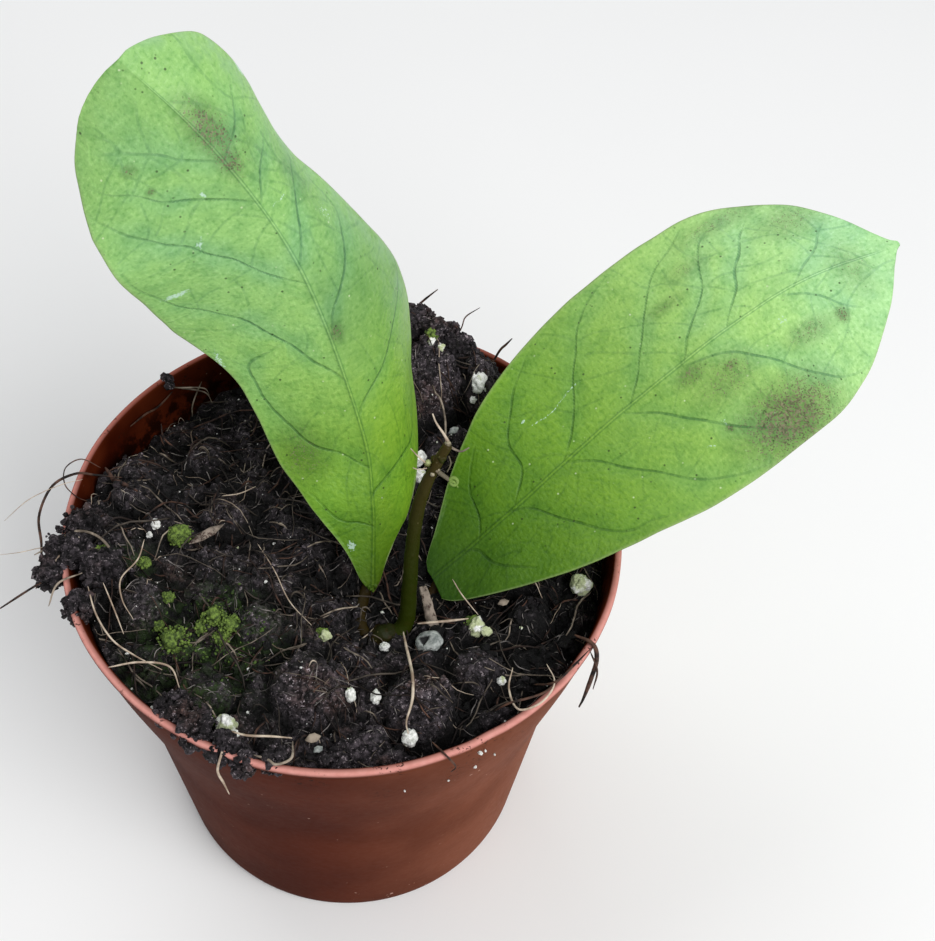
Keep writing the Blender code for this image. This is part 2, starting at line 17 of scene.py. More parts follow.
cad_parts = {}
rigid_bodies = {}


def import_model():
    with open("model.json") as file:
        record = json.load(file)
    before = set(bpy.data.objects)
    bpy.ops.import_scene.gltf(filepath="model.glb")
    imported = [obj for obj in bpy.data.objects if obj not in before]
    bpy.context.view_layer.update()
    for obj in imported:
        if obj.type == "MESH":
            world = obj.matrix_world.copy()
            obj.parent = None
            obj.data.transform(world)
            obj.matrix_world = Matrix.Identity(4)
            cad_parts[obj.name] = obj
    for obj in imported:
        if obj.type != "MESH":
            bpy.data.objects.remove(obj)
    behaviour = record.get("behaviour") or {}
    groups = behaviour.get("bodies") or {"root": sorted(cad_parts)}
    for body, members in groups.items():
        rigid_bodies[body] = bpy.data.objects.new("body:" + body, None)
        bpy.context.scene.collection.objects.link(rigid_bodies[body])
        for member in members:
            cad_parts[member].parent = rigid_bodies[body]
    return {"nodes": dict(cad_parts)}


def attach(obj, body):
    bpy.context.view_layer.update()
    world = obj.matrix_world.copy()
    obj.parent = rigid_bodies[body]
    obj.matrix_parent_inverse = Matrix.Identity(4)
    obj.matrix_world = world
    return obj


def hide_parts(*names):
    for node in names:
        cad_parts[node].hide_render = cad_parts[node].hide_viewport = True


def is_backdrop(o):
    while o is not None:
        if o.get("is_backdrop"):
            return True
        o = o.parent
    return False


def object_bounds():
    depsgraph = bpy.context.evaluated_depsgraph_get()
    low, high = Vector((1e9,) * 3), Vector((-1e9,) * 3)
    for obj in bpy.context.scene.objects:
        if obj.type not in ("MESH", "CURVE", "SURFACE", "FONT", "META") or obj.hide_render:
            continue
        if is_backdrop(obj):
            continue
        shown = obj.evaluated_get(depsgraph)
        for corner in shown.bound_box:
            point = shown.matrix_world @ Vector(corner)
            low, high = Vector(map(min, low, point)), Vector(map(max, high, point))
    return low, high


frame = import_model()
cad_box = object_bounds()
MM = 0.001
print("solids:", sorted(frame["nodes"]), "box:", cad_box)

# %% [markdown]
# ## Camera
#
# The photograph looks down on the pot from in front. The camera therefore leans 51.5 degrees
# below level and is rolled a little. Its lens is a long one, so that the pot's far rim and near
# rim keep their real proportions.

# %% Camera
VIEW_PLACE = Vector((0.0254, -0.1820, 0.3536))
LEAN_DOWN = math.radians(51.5)
ROLL = math.radians(4.42)
FOCAL_PIXELS = 1429
PHOTO_HEIGHT = 941
SENSOR = 36.0

camera_data = bpy.data.cameras.new("camera")
camera_data.sensor_width = SENSOR
camera_data.lens = FOCAL_PIXELS / PHOTO_HEIGHT * SENSOR
camera_data.clip_start = 0.01
camera = bpy.data.objects.new("camera", camera_data)
bpy.context.scene.collection.objects.link(camera)
lean = Matrix.Rotation(math.pi / 2 - LEAN_DOWN, 4, "X")
camera.matrix_world = Matrix.Translation(VIEW_PLACE) @ lean @ Matrix.Rotation(ROLL, 4, "Z")
bpy.context.scene.camera = camera
print("lens:", round(camera_data.lens, 2), "mm")

# %% [markdown]
# ## Light and floor
#
# The plant is lit by a soft, wide sky, strongest from the front right, so its shadows have no
# hard edge. An even world light and two large area lights do that. The floor is a plain pale
# sheet.

# %% Lights
scene = bpy.context.scene
scene.view_settings.view_transform = "Standard"
scene.view_settings.look = "None"
world = bpy.data.worlds.new("sky")
world.use_nodes = True
sky = world.node_tree.nodes["Background"]
sky.inputs["Color"].default_value = (0.95, 0.97, 1.0, 1)
sky.inputs["Strength"].default_value = 0.4
scene.world = world


def soft_light(name, place, size, watts):
    """A square area light, at a place and of a size in metres, that faces the plant's middle."""
    data = bpy.data.lights.new(name, "AREA")
    data.size = size
    data.energy = watts
    lamp = bpy.data.objects.new(name, data)
    lamp.location = place
    aim = Vector((0, 0, 0.1)) - Vector(place)
    lamp.rotation_euler = aim.to_track_quat("-Z", "Y").to_euler()
    scene.collection.objects.link(lamp)
    print("light:", name, watts, "W")


soft_light("sky_front", place=(0.72, -0.66, 1.05), size=0.9, watts=15)
soft_light("sky_back", place=(-0.4, 0.6, 1.25), size=0.9, watts=5)

# %% [markdown]
# ## From arrays to meshes
#
# Most surfaces here are grids of points worked out with numpy: each row is a ring or a line over
# the piece. One function skins such a grid. It joins neighbouring rows with four-sided faces,
# closes both ends, and turns the faces outwards by the sign of the volume that they enclose.

# %% Skin a grid of points
def skin(name, grid, finish):
    """A closed mesh over grid[n, row, column], n separate shells whose columns close on themselves.

    The volume is the sum over faces of a . (b x c) / 6. Where it is negative the faces turn round.
    """
    grid = np.asarray(grid, float)
    grid = grid[None] if grid.ndim == 3 else grid
    shells, rows, columns = grid.shape[:3]
    index = np.arange(shells * rows * columns).reshape(shells, rows, columns)
    beside = np.roll(index, -1, 2)
    quads = np.stack([index[:, :-1], beside[:, :-1], beside[:, 1:], index[:, 1:]], -1)
    quads = quads.reshape(-1, 4)
    ends = np.concatenate([index[:, 0, ::-1], index[:, -1]])
    points = grid.reshape(-1, 3)
    local = (grid - grid.mean((1, 2), keepdims=True)).reshape(-1, 3)[quads]
    volume = (local[:, 0] * np.cross(local[:, 1], local[:, 2])).sum()
    volume += (local[:, 0] * np.cross(local[:, 2], local[:, 3])).sum()
    if volume < 0:
        quads = quads[:, ::-1]
        ends = ends[:, ::-1]
    return add_mesh(name, points, quads.tolist() + ends.tolist(), finish)


def add_mesh(name, points, faces, finish, smooth=True):
    """Points in millimetres and faces become a mesh object that rides on the one body."""
    mesh = bpy.data.meshes.new(name)
    mesh.from_pydata(points * MM, [], faces)
    if smooth:
        mesh.shade_smooth()
    mesh.materials.append(finish.material)
    piece = bpy.data.objects.new(name, mesh)
    scene.collection.objects.link(piece)
    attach(piece, "root")
    print(name, len(mesh.vertices), "points")
    return piece


def paint_points(piece, name, values):
    """Keeps one number for each point of the piece, which its finish can read."""
    layer = piece.data.attributes.new(name, "FLOAT", "POINT")
    layer.data.foreach_set("value", np.asarray(values, np.float32).ravel())


# %% [markdown]
# ## Stalks, roots and fibres
#
# A shoot, a root and a peat fibre are all one form: a circle carried along a path. The path's
# direction is its slope, and the circle is drawn square to it. Hundreds of fibres can be made at
# once, because the same formula works on a whole array of paths.

# %% Round stalks along paths
def tubes(paths, radii, sides):
    """Grid of points = path + radius * (side * cos a + up * sin a), for each path at once."""
    paths = np.asarray(paths, float)
    heading = np.gradient(paths, axis=1)
    heading /= np.linalg.norm(heading, axis=2, keepdims=True)
    least = np.abs(heading.mean(1)).argmin(1)
    side = np.cross(heading, np.eye(3)[least][:, None])
    side /= np.linalg.norm(side, axis=2, keepdims=True)
    up = np.cross(side, heading)
    turn = np.arange(sides) * math.tau / sides
    circle = side[:, :, None] * np.cos(turn)[:, None] + up[:, :, None] * np.sin(turn)[:, None]
    radii = np.broadcast_to(np.asarray(radii, float), paths.shape[:2])
    return paths[:, :, None] + circle * radii[:, :, None, None]


CURVE_STEPS = 24


def smooth_through(points, places):
    """Points at these shares of the length of one smooth curve through the given points.

    Between b and c the curve is 0.5 (2b + (c-a)t + (2a-5b+4c-d)t^2 + (3b-a-3c+d)t^3).
    """
    given = np.asarray(points, float)
    padded = np.vstack([2 * given[0] - given[1], given, 2 * given[-1] - given[-2]])
    place = np.linspace(0, len(given) - 1, CURVE_STEPS * len(given))
    start = np.minimum(place.astype(int), len(given) - 2)
    t = (place - start)[:, None]
    a, b, c, d = (padded[start + i] for i in range(4))
    bow = (2 * a - 5 * b + 4 * c - d) * t**2
    fine = 0.5 * (2 * b + (c - a) * t + bow + (3 * b - a - 3 * c + d) * t**3)
    run = np.append(0, np.cumsum(np.linalg.norm(np.diff(fine, axis=0), axis=1)))
    return np.stack([np.interp(places * run[-1], run, axis) for axis in fine.T], 1)


def stalk(points, radii, count, sides):
    """One smooth stalk of count rings, whose radius goes from value to value along its length."""
    along = np.linspace(0, 1, count)
    thick = np.interp(along, np.linspace(0, 1, len(radii)), radii)
    return tubes(smooth_through(points, along)[None], thick[None], sides)


# %% [markdown]
# ## Noise and crumbs in numbers
#
# Peat and leaves are uneven at several sizes. Two patterns cover that. Value noise gives each
# corner of a lattice a fixed random number and blends between them. Crumbs are round domes, one
# to each cell of a lattice, pushed off its centre. Mounds, damp places and mossy places are
# smoother: each is one bell, and so is the cut across a groove or a ridge.

# %% Noise on arrays
def fixed_random(cells, seed):
    """A number from 0 to 1 for each whole-number cell, made by multiplying and shifting its bits."""
    mixed = np.full(cells.shape[:-1], seed * 7919 + 13, np.uint32)
    for axis, prime in zip(np.moveaxis(cells, -1, 0), (374761393, 668265263, 2246822519)):
        mixed = (mixed ^ (axis.astype(np.int64) & 0xFFFFFFFF).astype(np.uint32)) * np.uint32(prime)
        mixed ^= mixed >> np.uint32(15)
    return (mixed & np.uint32(0xFFFFF)) / float(0xFFFFF)


def value_noise(places, size, seed):
    """Smooth noise from -1 to 1: corner values blended by 3t^2 - 2t^3 along each axis."""
    places = np.asarray(places, float) / size
    low = np.floor(places)
    t = places - low
    t = t * t * (3 - 2 * t)
    total = 0
    for corner in np.ndindex(*(2,) * places.shape[-1]):
        share = np.prod(np.where(corner, t, 1 - t), -1)
        total = total + share * fixed_random(low + corner, seed)
    return 2 * total - 1


# %% Crumbs, humps and bells
def crumbs(x, y, size, seed):
    """Rounded crumbs, 0 to 1: the highest sqrt(1 - d^2) over the domes of the nine nearest cells."""
    places = np.stack([x, y], -1) / size
    low = np.floor(places)
    best = np.zeros(np.shape(x))
    for step in np.ndindex(3, 3):
        cell = low + np.array(step) - 1
        shift = np.stack([fixed_random(cell, seed), fixed_random(cell, seed + 1)], -1)
        reach = 0.42 + 0.38 * fixed_random(cell, seed + 2)
        far = np.linalg.norm(places - cell - 0.15 - 0.7 * shift, axis=-1) / reach
        best = np.maximum(best, reach * np.sqrt(np.clip(1 - far**2, 0, 1)))
    return best


def hump(distance, width):
    """e^(-(distance / width)^2): 1 on a line and falling off to both sides of it."""
    return np.exp(-((distance / width) ** 2))


def bell(x, y, middle_x, middle_y, spread):
    """e^(-d^2 / 2s^2): 1 in the middle, falling off with the distance d over the spread s."""
    return np.exp(-((x - middle_x) ** 2 + (y - middle_y) ** 2) / (2 * spread**2))


# %% [markdown]
# ## Finishes as expressions
#
# A Blender material is a graph of nodes. Written out it is long, so a small class wraps one
# socket and lets Python's + - * / add the Math nodes. What changes over a surface goes to the
# colour, the roughness and the bump. What is the same all over is set once on the shader.

# %% Numbers on wires, and colours
class Wire:
    """One number on its way through a finish, which Python's operators work on."""

    def __init__(self, finish, socket):
        self.finish = finish
        self.socket = socket

    def __add__(self, other):
        return self.finish.math("ADD", self, other)

    def __sub__(self, other):
        return self.finish.math("SUBTRACT", self, other)

    def __rsub__(self, other):
        return self.finish.math("SUBTRACT", other, self)

    def __mul__(self, other):
        return self.finish.math("MULTIPLY", self, other)

    def __truediv__(self, other):
        return self.finish.math("DIVIDE", self, other)

    __radd__ = __add__
    __rmul__ = __mul__


def rgb(red, green, blue):
    """A colour of 0 to 255, as a screen shows it, in Blender's linear light."""
    return (*((np.array((red, green, blue)) / 255) ** 2.2).tolist(), 1.0)


# %% A finish and its nodes
class Finish:
    """A material with one Principled shader. Constants are set on the shader's own sockets."""

    def __init__(self, name, **constants):
        self.material = bpy.data.materials.new(name)
        self.material.use_nodes = True
        self.tree = self.material.node_tree
        self.shader = self.tree.nodes["Principled BSDF"]
        for socket, value in constants.items():
            self.shader.inputs[socket.replace("_", " ")].default_value = value
        print("finish:", name)

    def node(self, kind, settings=(), inputs=(), output=0):
        """Any node: its settings come first, then the values or wires of its sockets."""
        made = self.tree.nodes.new(kind)
        for key, value in dict(settings).items():
            if key == "stops":
                ramp = made.color_ramp.elements
                while len(ramp) < len(value):
                    ramp.new(0.5)
                for element, (place, colour) in zip(ramp, value):
                    element.position = place
                    element.color = colour
            else:
                setattr(made, key, value)
        for key, value in dict(inputs).items():
            if isinstance(value, Wire):
                self.tree.links.new(value.socket, made.inputs[key])
            else:
                made.inputs[key].default_value = value
        return Wire(self, made.outputs[output])

    def math(self, operation, *values):
        """One Math node, for numbers alone."""
        return self.node("ShaderNodeMath", {"operation": operation}, enumerate(values))

    def step(self, value, low, high):
        """0 below low and 1 above high, with a smooth rise between them."""
        ends = {"Value": value, "From Min": low, "From Max": high}
        return self.node("ShaderNodeMapRange", {"interpolation_type": "SMOOTHSTEP"}, ends)

    def mix(self, share, one, other, blend="MIX"):
        """The first colour at share 0 and the other, or the two blended, at share 1."""
        settings = {"data_type": "RGBA", "blend_type": blend}
        return self.node("ShaderNodeMix", settings, {0: share, 6: one, 7: other}, 2)

    def graded(self, value, low, high, one, other):
        """The first colour where value is below low, easing into the other above high."""
        return self.mix(self.step(value, low, high), one, other)

    def stored(self, name):
        """The number that paint_points kept under this name."""
        return self.node("ShaderNodeAttribute", {"attribute_name": name}, output=2)

    def place(self):
        """The place on the piece, in metres."""
        return self.node("ShaderNodeTexCoord", output=3)

    def axis(self, number, place=None):
        """One coordinate of a place, in metres: 0 is x, 1 is y and 2 is z."""
        return self.node("ShaderNodeSeparateXYZ", (), {0: place or self.place()}, number)

    def noise(self, size_mm, detail=3.0, rough=0.5, place=None):
        """Noise from 0 to 1 whose blobs are about size_mm across."""
        scale = {"Vector": place or self.place(), "Scale": 1000 / size_mm}
        return self.node("ShaderNodeTexNoise", (), scale | {"Detail": detail, "Roughness": rough})

    def cells(self, size_mm, output=0, place=None):
        """Cells size_mm across: output 0 is the distance from a cell's point, 1 its own colour."""
        inputs = {"Vector": place or self.place(), "Scale": 1000 / size_mm}
        return self.node("ShaderNodeTexVoronoi", (), inputs, output)

    def feed(self, socket, value):
        """Wires what changes over the surface into a socket of the shader."""
        self.tree.links.new(value.socket, self.shader.inputs[socket])

    def bump(self, height, depth_mm):
        """Tilts the light as if the surface rose by depth_mm where height is 1."""
        sockets = {"Height": height, "Distance": depth_mm * MM, "Strength": 1.0}
        self.feed("Normal", self.node("ShaderNodeBump", (), sockets))


# %% [markdown]
# The floor needs only a faint unevenness, so that it doesn't look like a cut-out.

# %% Floor
paper = Finish("pale_floor", Roughness=0.85)
paper.feed("Base Color", paper.mix(paper.noise(300), rgb(243, 243, 242), rgb(250, 250, 249)))
floor_mesh = bpy.data.meshes.new("floor")
floor_mesh.from_pydata([(-4, -4, 0), (4, -4, 0), (4, 4, 0), (-4, 4, 0)], [], [(0, 1, 2, 3)])
floor_mesh.materials.append(paper.material)
floor = bpy.data.objects.new("floor", floor_mesh)
scene.collection.objects.link(floor)
floor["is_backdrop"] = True

# %% [markdown]
# ## The pot
#
# A nursery pot is moulded in one thin wall. It is turned, so its shape is one profile carried
# round the upright axis: floor, inside, lip, outside, foot, and the raised ring that holds the
# drain holes. The wall is a steady taper with a bell-like flare in its upper half. The real rim
# is a little battered, which a slow wave round it gives.

# %% Pot shape
LIP_FOOT = 102.7
WALL = 1.2
POT_TURNS = 240


def wall_radius(height):
    """44.3 + 0.1 z, and 4.8 (3e^2 - 2e^3) more, where e runs from 0 at 50 mm to 1 at the rim."""
    ease = np.clip((np.asarray(height, float) - 50) / 54, 0, 1)
    return 44.3 + 0.1 * height + 4.8 * ease**2 * (3 - 2 * ease)


def pot_profile():
    """(radius, height) from the floor's middle up the inside, over the lip and down to the foot."""
    rising = np.linspace(2.2, LIP_FOOT - 0.4, 40)
    floor_line = [(0.5, WALL), (20.4, WALL), (22, 3.5), (35, 3.5), (36.6, WALL), (42.6, WALL)]
    inside = np.stack([wall_radius(rising) - WALL, rising], 1)
    lip = [
        (58.3, 103.5), (58.5, 103.9), (58.8, 104), (59.5, 104), (59.85, 103.9), (60, 103.6),
        (60, 103.0), (59.95, LIP_FOOT), (59.2, LIP_FOOT - 0.1),
    ]
    outside = np.stack([wall_radius(rising), rising], 1)[::-1]
    foot = [(44.2, 1.1), (43.8, 0.5), (43.2, 0.05), (42.6, 0), (36, 0), (34.4, 2.3)]
    middle = [(23, 2.3), (20.8, 0), (0.5, 0)]
    return np.vstack([floor_line, inside, lip, outside, foot, middle])


def turned(profile, turns):
    """Each profile point (r, z) goes round to (r cos a, r sin a, z)."""
    angle = np.arange(turns) * math.tau / turns
    radius, height = profile[:, 0, None], profile[:, 1, None]
    ring = [radius * np.cos(angle), radius * np.sin(angle), height + 0 * angle]
    return np.stack(ring, -1)


narrowest, widest = wall_radius(0), wall_radius(LIP_FOOT)
print(f"pot: {len(pot_profile())} profile points, wall radius {narrowest:.1f} to {widest:.1f} mm")

# %% [markdown]
# The plastic is a dull red-brown, paler and chalky on the outer half of the lip, where it is
# rubbed, with painted shade on the lip towards the back, and painted light that makes the right
# side paler. Its outside has a soft mottle, a few pale scuffs and splashes of soil. The inside is
# darker, and stained near the soil.

# %% Pot finish
terracotta = Finish("terracotta_plastic", Specular_IOR_Level=0.01)
wide = terracotta.noise(26, 3)
fine = terracotta.noise(1.6, 4, 0.6)
rightwards, backwards, upwards = (terracotta.axis(number) for number in range(3))
body = terracotta.graded(wide, 0.3, 0.7, rgb(72, 34, 24), rgb(86, 42, 29))
# Painted light: the right side of the pot is paler, as if lit from the right.
painted_light_right = terracotta.graded(wide, 0.3, 0.7, rgb(112, 65, 47), rgb(132, 80, 60))
body = terracotta.graded(rightwards, -0.005, 0.044, body, painted_light_right)
body = terracotta.mix(fine * 0.2, body, rgb(66, 28, 15))
colour_in = terracotta.graded(wide, 0.35, 0.65, rgb(56, 22, 12), rgb(88, 40, 24))
stain = terracotta.step(terracotta.noise(4, 4, 0.65), 0.4, 0.56)
stain = stain * terracotta.step(upwards, 0.1025, 0.095)
colour_in = terracotta.mix(stain * 0.85, colour_in, rgb(16, 11, 9))
body = terracotta.mix(terracotta.stored("inside"), body, colour_in)
rubbed = terracotta.mix(fine, rgb(196, 126, 116), rgb(224, 162, 152))
# Painted shade: the rubbed lip turns darker towards the back.
rubbed = terracotta.graded(backwards, -0.03, 0.045, rubbed, rgb(160, 94, 82))
colour = terracotta.mix(terracotta.stored("rubbed"), body, rubbed)
scuffs = terracotta.step(terracotta.noise(2.2, 2, 0.7), 0.7, 0.75)
scuffs = scuffs * terracotta.step(terracotta.noise(17, 2), 0.5, 0.68)
colour = terracotta.mix(scuffs * 0.75, colour, rgb(214, 176, 160))
soiled = terracotta.step(terracotta.noise(1.1, 3, 0.7), 0.58, 0.64)
soiled = soiled * terracotta.step(terracotta.noise(9, 2), 0.47, 0.6)
soiled = soiled * terracotta.step(upwards, 0.07, 0.103)
colour = terracotta.mix(soiled * 0.85, colour, rgb(38, 28, 24))
terracotta.feed("Base Color", colour)
terracotta.feed("Roughness", 0.42 + 0.2 * fine + 0.2 * scuffs)
terracotta.bump(wide * 0.7 + fine * 0.3, 0.12)

# %% Pot
pot_grid = turned(pot_profile(), POT_TURNS)
spin = np.arctan2(pot_grid[..., 1], pot_grid[..., 0])
near_rim = np.clip((pot_grid[..., 2] - 92) / 12, 0, 1) ** 2
around = np.stack([np.cos(spin), np.sin(spin)], -1)
wave = 0.3 * np.sin(2 * spin + 0.6) + 0.35 * value_noise(around * 60, 21, 5)
dents = 0.35 * value_noise(around * 60, 5, 6) * np.exp(-((spin + 0.85) ** 2) / 0.1)
pot_grid[..., :2] += around * (near_rim * (wave + dents))[..., None]
pot_grid[..., 2] += near_rim * (0.25 * value_noise(around * 60, 14, 7) + dents)
pot = skin("pot_wall", pot_grid, terracotta)
radius, height = pot_profile().T
inner = (radius < wall_radius(height) - 0.6) & (height > 1)
outer_lip = np.clip((radius - 58.5) / 0.7, 0, 1) * np.clip((height - 103.2) / 0.6, 0, 1)
paint_points(pot, "inside", np.repeat(inner, POT_TURNS))
paint_points(pot, "rubbed", np.repeat(outer_lip, POT_TURNS))

# %% Drain holes
HOLES = 6
HOLE_RADIUS = 0.004
HOLE_RING = 0.029


def drill_holes(piece):
    """Cuts round drain holes with a Boolean, the plain way to open a turned shell."""
    drills = bpy.data.collections.new("drills")
    size = {"radius1": HOLE_RADIUS, "radius2": HOLE_RADIUS, "depth": 0.012}
    for i in range(HOLES):
        angle = math.tau * (i + 0.5) / HOLES
        work = bmesh.new()
        bmesh.ops.create_cone(work, cap_ends=True, segments=32, **size)
        middle = Vector((HOLE_RING * math.cos(angle), HOLE_RING * math.sin(angle), 0.003))
        bmesh.ops.translate(work, verts=work.verts, vec=middle)
        mesh = bpy.data.meshes.new("drill")
        work.to_mesh(mesh)
        work.free()
        drills.objects.link(bpy.data.objects.new("drill", mesh))
    scene.collection.children.link(drills)
    cut = piece.modifiers.new("drain", "BOOLEAN")
    cut.operation = "DIFFERENCE"
    cut.operand_type = "COLLECTION"
    cut.collection = drills
    bpy.context.view_layer.update()
    graph = bpy.context.evaluated_depsgraph_get()
    made = bpy.data.meshes.new_from_object(piece.evaluated_get(graph))
    piece.modifiers.clear()
    piece.data = made
    for drill in list(drills.objects):
        bpy.data.objects.remove(drill)
    bpy.data.collections.remove(drills)


drill_holes(pot)
print("pot wall with its holes:", len(pot.data.vertices), "points")
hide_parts("pot")

# %% [markdown]
# ## The peat
#
# The soil is damp peat with crumbs of every size. Its broad form is the solid's: a level with
# mounds, dips and clods, heaped at the back right and spilling over the rim at the left and the
# front left. Smaller crumbs are added as domes of three sizes, with noise to break their edges.

# %% Broad form of the peat
SOIL_LEVEL = 96.5
MOUNDS = (
    (10, 49, 20, 9), (26, 44, 10, 9), (14, 30, 5, 12), (-41, 34, -4.5, 12), (-58, -6, 8, 14),
    (-30, -16, 4, 15), (-12, -38, 3, 12), (22, -36, 3, 9), (8, -18, -4, 7), (24, -11, -3, 6),
)
CLODS = (
    (-3, -38, 9.0, 3.6), (20, -40, 8.5, 3.4), (31, -31, 7.0, 3.0), (-15, -25, 6.5, 2.4),
    (-27, 3, 6.5, 2.6), (-40, -24, 7.0, 2.6), (-24, -41, 6.5, 2.6), (41, -16, 6.0, 2.4),
    (15, 36, 8.0, 3.4), (29, 38, 7.0, 3.0), (21, 24, 6.5, 2.8), (-12, 19, 7.0, 2.6),
    (-35, 21, 6.5, 2.6), (37, 24, 6.0, 2.4), (46, 8, 5.5, 2.2), (-47, 4, 6.0, 2.4),
    (4, -5, 6.5, 2.2), (0, 38, 6.5, 2.6),
)
SOIL_RADIUS = 57.0


def broad_height(x, y):
    """Level + bells rise e^(-d^2 / 2s^2) + clods rise (1 - d^2 / r^2)^0.7 - the fall at the wall."""
    height = np.full(np.shape(x), SOIL_LEVEL)
    for mx, my, rise, spread in MOUNDS:
        height += rise * bell(x, y, mx, my, spread)
    for cx, cy, radius, rise in CLODS:
        height += rise * np.clip(1 - ((x - cx) ** 2 + (y - cy) ** 2) / radius**2, 0, 1) ** 0.7
    return height - 2.5 * np.clip((np.hypot(x, y) - SOIL_RADIUS + 4) / 4, 0, 1)


print("peat:", len(MOUNDS), "mounds and", len(CLODS), "clods on a level of", SOIL_LEVEL, "mm")

# %% Crumbs of the peat, and its painted light and shade
def clod_share(x, y):
    """1 - d^2 / r^2 over the nearest clod: 1 on its top and 0 at its edge."""
    clod = np.zeros(np.shape(x))
    for cx, cy, radius, _ in CLODS:
        clod = np.maximum(clod, 1 - ((x - cx) ** 2 + (y - cy) ** 2) / radius**2)
    return clod


def peat_relief(x, y):
    """Warped crumbs of 6, 3 and 1.5 mm and noise of 4 and 1 mm, with a rift round each clod.

    On a clod all of it is 0.6 times as strong, because the clods are pressed and smooth.
    """
    flat = np.stack([x, y], -1)
    wx = x + 1.2 * value_noise(flat, 3.1, 11)
    wy = y + 1.2 * value_noise(flat, 3.1, 12)
    relief = 2.0 * crumbs(wx, wy, 6.2, 1) + 1.5 * crumbs(wx, wy, 3.1, 4)
    relief += 0.9 * crumbs(wx, wy, 1.6, 7) + 1.2 * value_noise(flat, 4, 13)
    relief += 0.5 * value_noise(flat, 1.1, 14) - 2.2
    relief *= 1 - 0.4 * np.clip(1.6 * clod_share(x, y), 0, 1)
    for cx, cy, radius, _ in CLODS:
        relief -= 2.3 * hump(np.hypot(wx - cx, wy - cy) - radius, 1.5)
    return relief


def peat_height(x, y):
    """The broad form with its relief, in mm above the pot's foot."""
    return broad_height(x, y) + peat_relief(x, y)


# Spots of painted shade, mostly shadows of the leaves and stem, and of painted light below 0: x, y, spread,
# how much darker
PAINTED_SHADE_SPOTS = (
    (12, -15, 5, 0.7), (23, -3, 7, 0.6), (40, -8, 13, 0.3), (44, -22, 9, 0.3),
    (-34, -44, 8, 0.12), (14, 46, 13, -0.55), (4, -42, 14, -0.45),
)


def painted_light_share(x, y):
    """0 in the hollows to 1 on the tops: how much painted light, against painted shade, a place gets.

    That is 0.26 + 0.32 * the clod's share + 0.24 * the relief in mm, less a bell for each spot of
    painted shade; a spot whose level is below 0 adds painted light instead.
    """
    raised = 0.26 + 0.32 * clod_share(x, y) + 0.24 * peat_relief(x, y)
    for cx, cy, spread, level in PAINTED_SHADE_SPOTS:
        raised -= level * bell(x, y, cx, cy, spread)
    return np.clip(raised, 0, 1)


# %% [markdown]
# Damp peat is grey-brown on its crumbs, with a green bloom of moss on the left. Painted shade
# makes it nearly black in its hollows, under the leaves and round the stem, and painted light
# makes crumb tops and the back heap paler. The mesh keeps that share for each point, and the
# finish reads it. Wet glints come from a roughness that changes from crumb to crumb.

# %% Peat finish
peat = Finish("peat", Specular_IOR_Level=0.3)
speck = peat.noise(1.1, 5, 0.65)
grain = peat.cells(0.9)
black = peat.graded(speck, 0.35, 0.7, rgb(10, 9, 10), rgb(50, 47, 49))
brown = peat.graded(speck, 0.4, 0.7, rgb(18, 13, 11), rgb(62, 48, 42))
ground = peat.mix(peat.step(peat.noise(9, 3), 0.5, 0.72) * 0.7, black, brown)
ash = peat.step(peat.noise(0.7, 3, 0.7), 0.58, 0.66)
ground = peat.mix(ash * 0.7, ground, rgb(106, 101, 102))
# Painted shade and painted light: the colour is multiplied by the share that each point keeps.
shade = peat.mix(peat.stored("raised"), (0.15, 0.15, 0.15, 1), (4.6, 4.3, 4.5, 1))
ground = peat.mix(1.0, ground, shade, "MULTIPLY")
bloom = peat.stored("moss") * peat.step(peat.noise(2.6, 4, 0.7), 0.4, 0.62)
ground = peat.mix(bloom * 0.8, ground, rgb(50, 70, 32))
peat.feed("Base Color", ground)
peat.feed("Roughness", 0.95 - 0.5 * peat.step(peat.noise(3, 4, 0.7), 0.45, 0.65))
peat.bump(speck + grain * 0.4 + 0.5 * peat.noise(0.45, 2, 0.6), 0.8)

# %% Peat surface
SOIL_TURNS = 480
SOIL_RINGS = 140
# Centres of moss: x, y, spread
MOSS_PATCHES = (
    (-29, -30, 6.0), (-20, -30, 6.5), (-23, -22, 4.0), (-36, -36, 5.0), (-24, -43, 4.0),
    (-44, -14, 3.0),
)


def moss_share(x, y):
    """0 to 1: the sum of bells round the middles of the mossy places."""
    return np.clip(sum(bell(x, y, *patch) for patch in MOSS_PATCHES), 0, 1)


# The plug's profile (radius, height) from its under side up the pot's wall
plug = np.array([(0.6, 1.6), (20.0, 1.6), (22, 3.9), (35, 3.9), (37, 3.4), (43.0, 3.4)])
side_heights = np.linspace(8, 88, 9)
plug = np.vstack([plug, np.stack([wall_radius(side_heights) - WALL - 0.6, side_heights], 1)])
plug_rings = turned(plug, SOIL_TURNS)
share = np.linspace(1, 0.01, SOIL_RINGS)[:, None]
angle = np.arange(SOIL_TURNS) * math.tau / SOIL_TURNS
top_x, top_y = SOIL_RADIUS * share * np.cos(angle), SOIL_RADIUS * share * np.sin(angle)
top_rings = np.stack([top_x, top_y, peat_height(top_x, top_y)], -1)
soil_grid = np.concatenate([plug_rings, top_rings])
soil = skin("peat_plug", soil_grid, peat)
paint_points(soil, "moss", moss_share(soil_grid[..., 0], soil_grid[..., 1]))
# Painted light and shade for each point of the peat.
paint_points(soil, "raised", painted_light_share(soil_grid[..., 0], soil_grid[..., 1]))
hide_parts("soil")


# %% [markdown]
# ## Loose crumbs
#
# Round the clods lie thousands of loose crumbs, and lumps of peat hang over the lip. Each crumb
# is one small ball with its points pushed about. All of them are copied, turned and scaled as
# arrays and kept as one mesh.

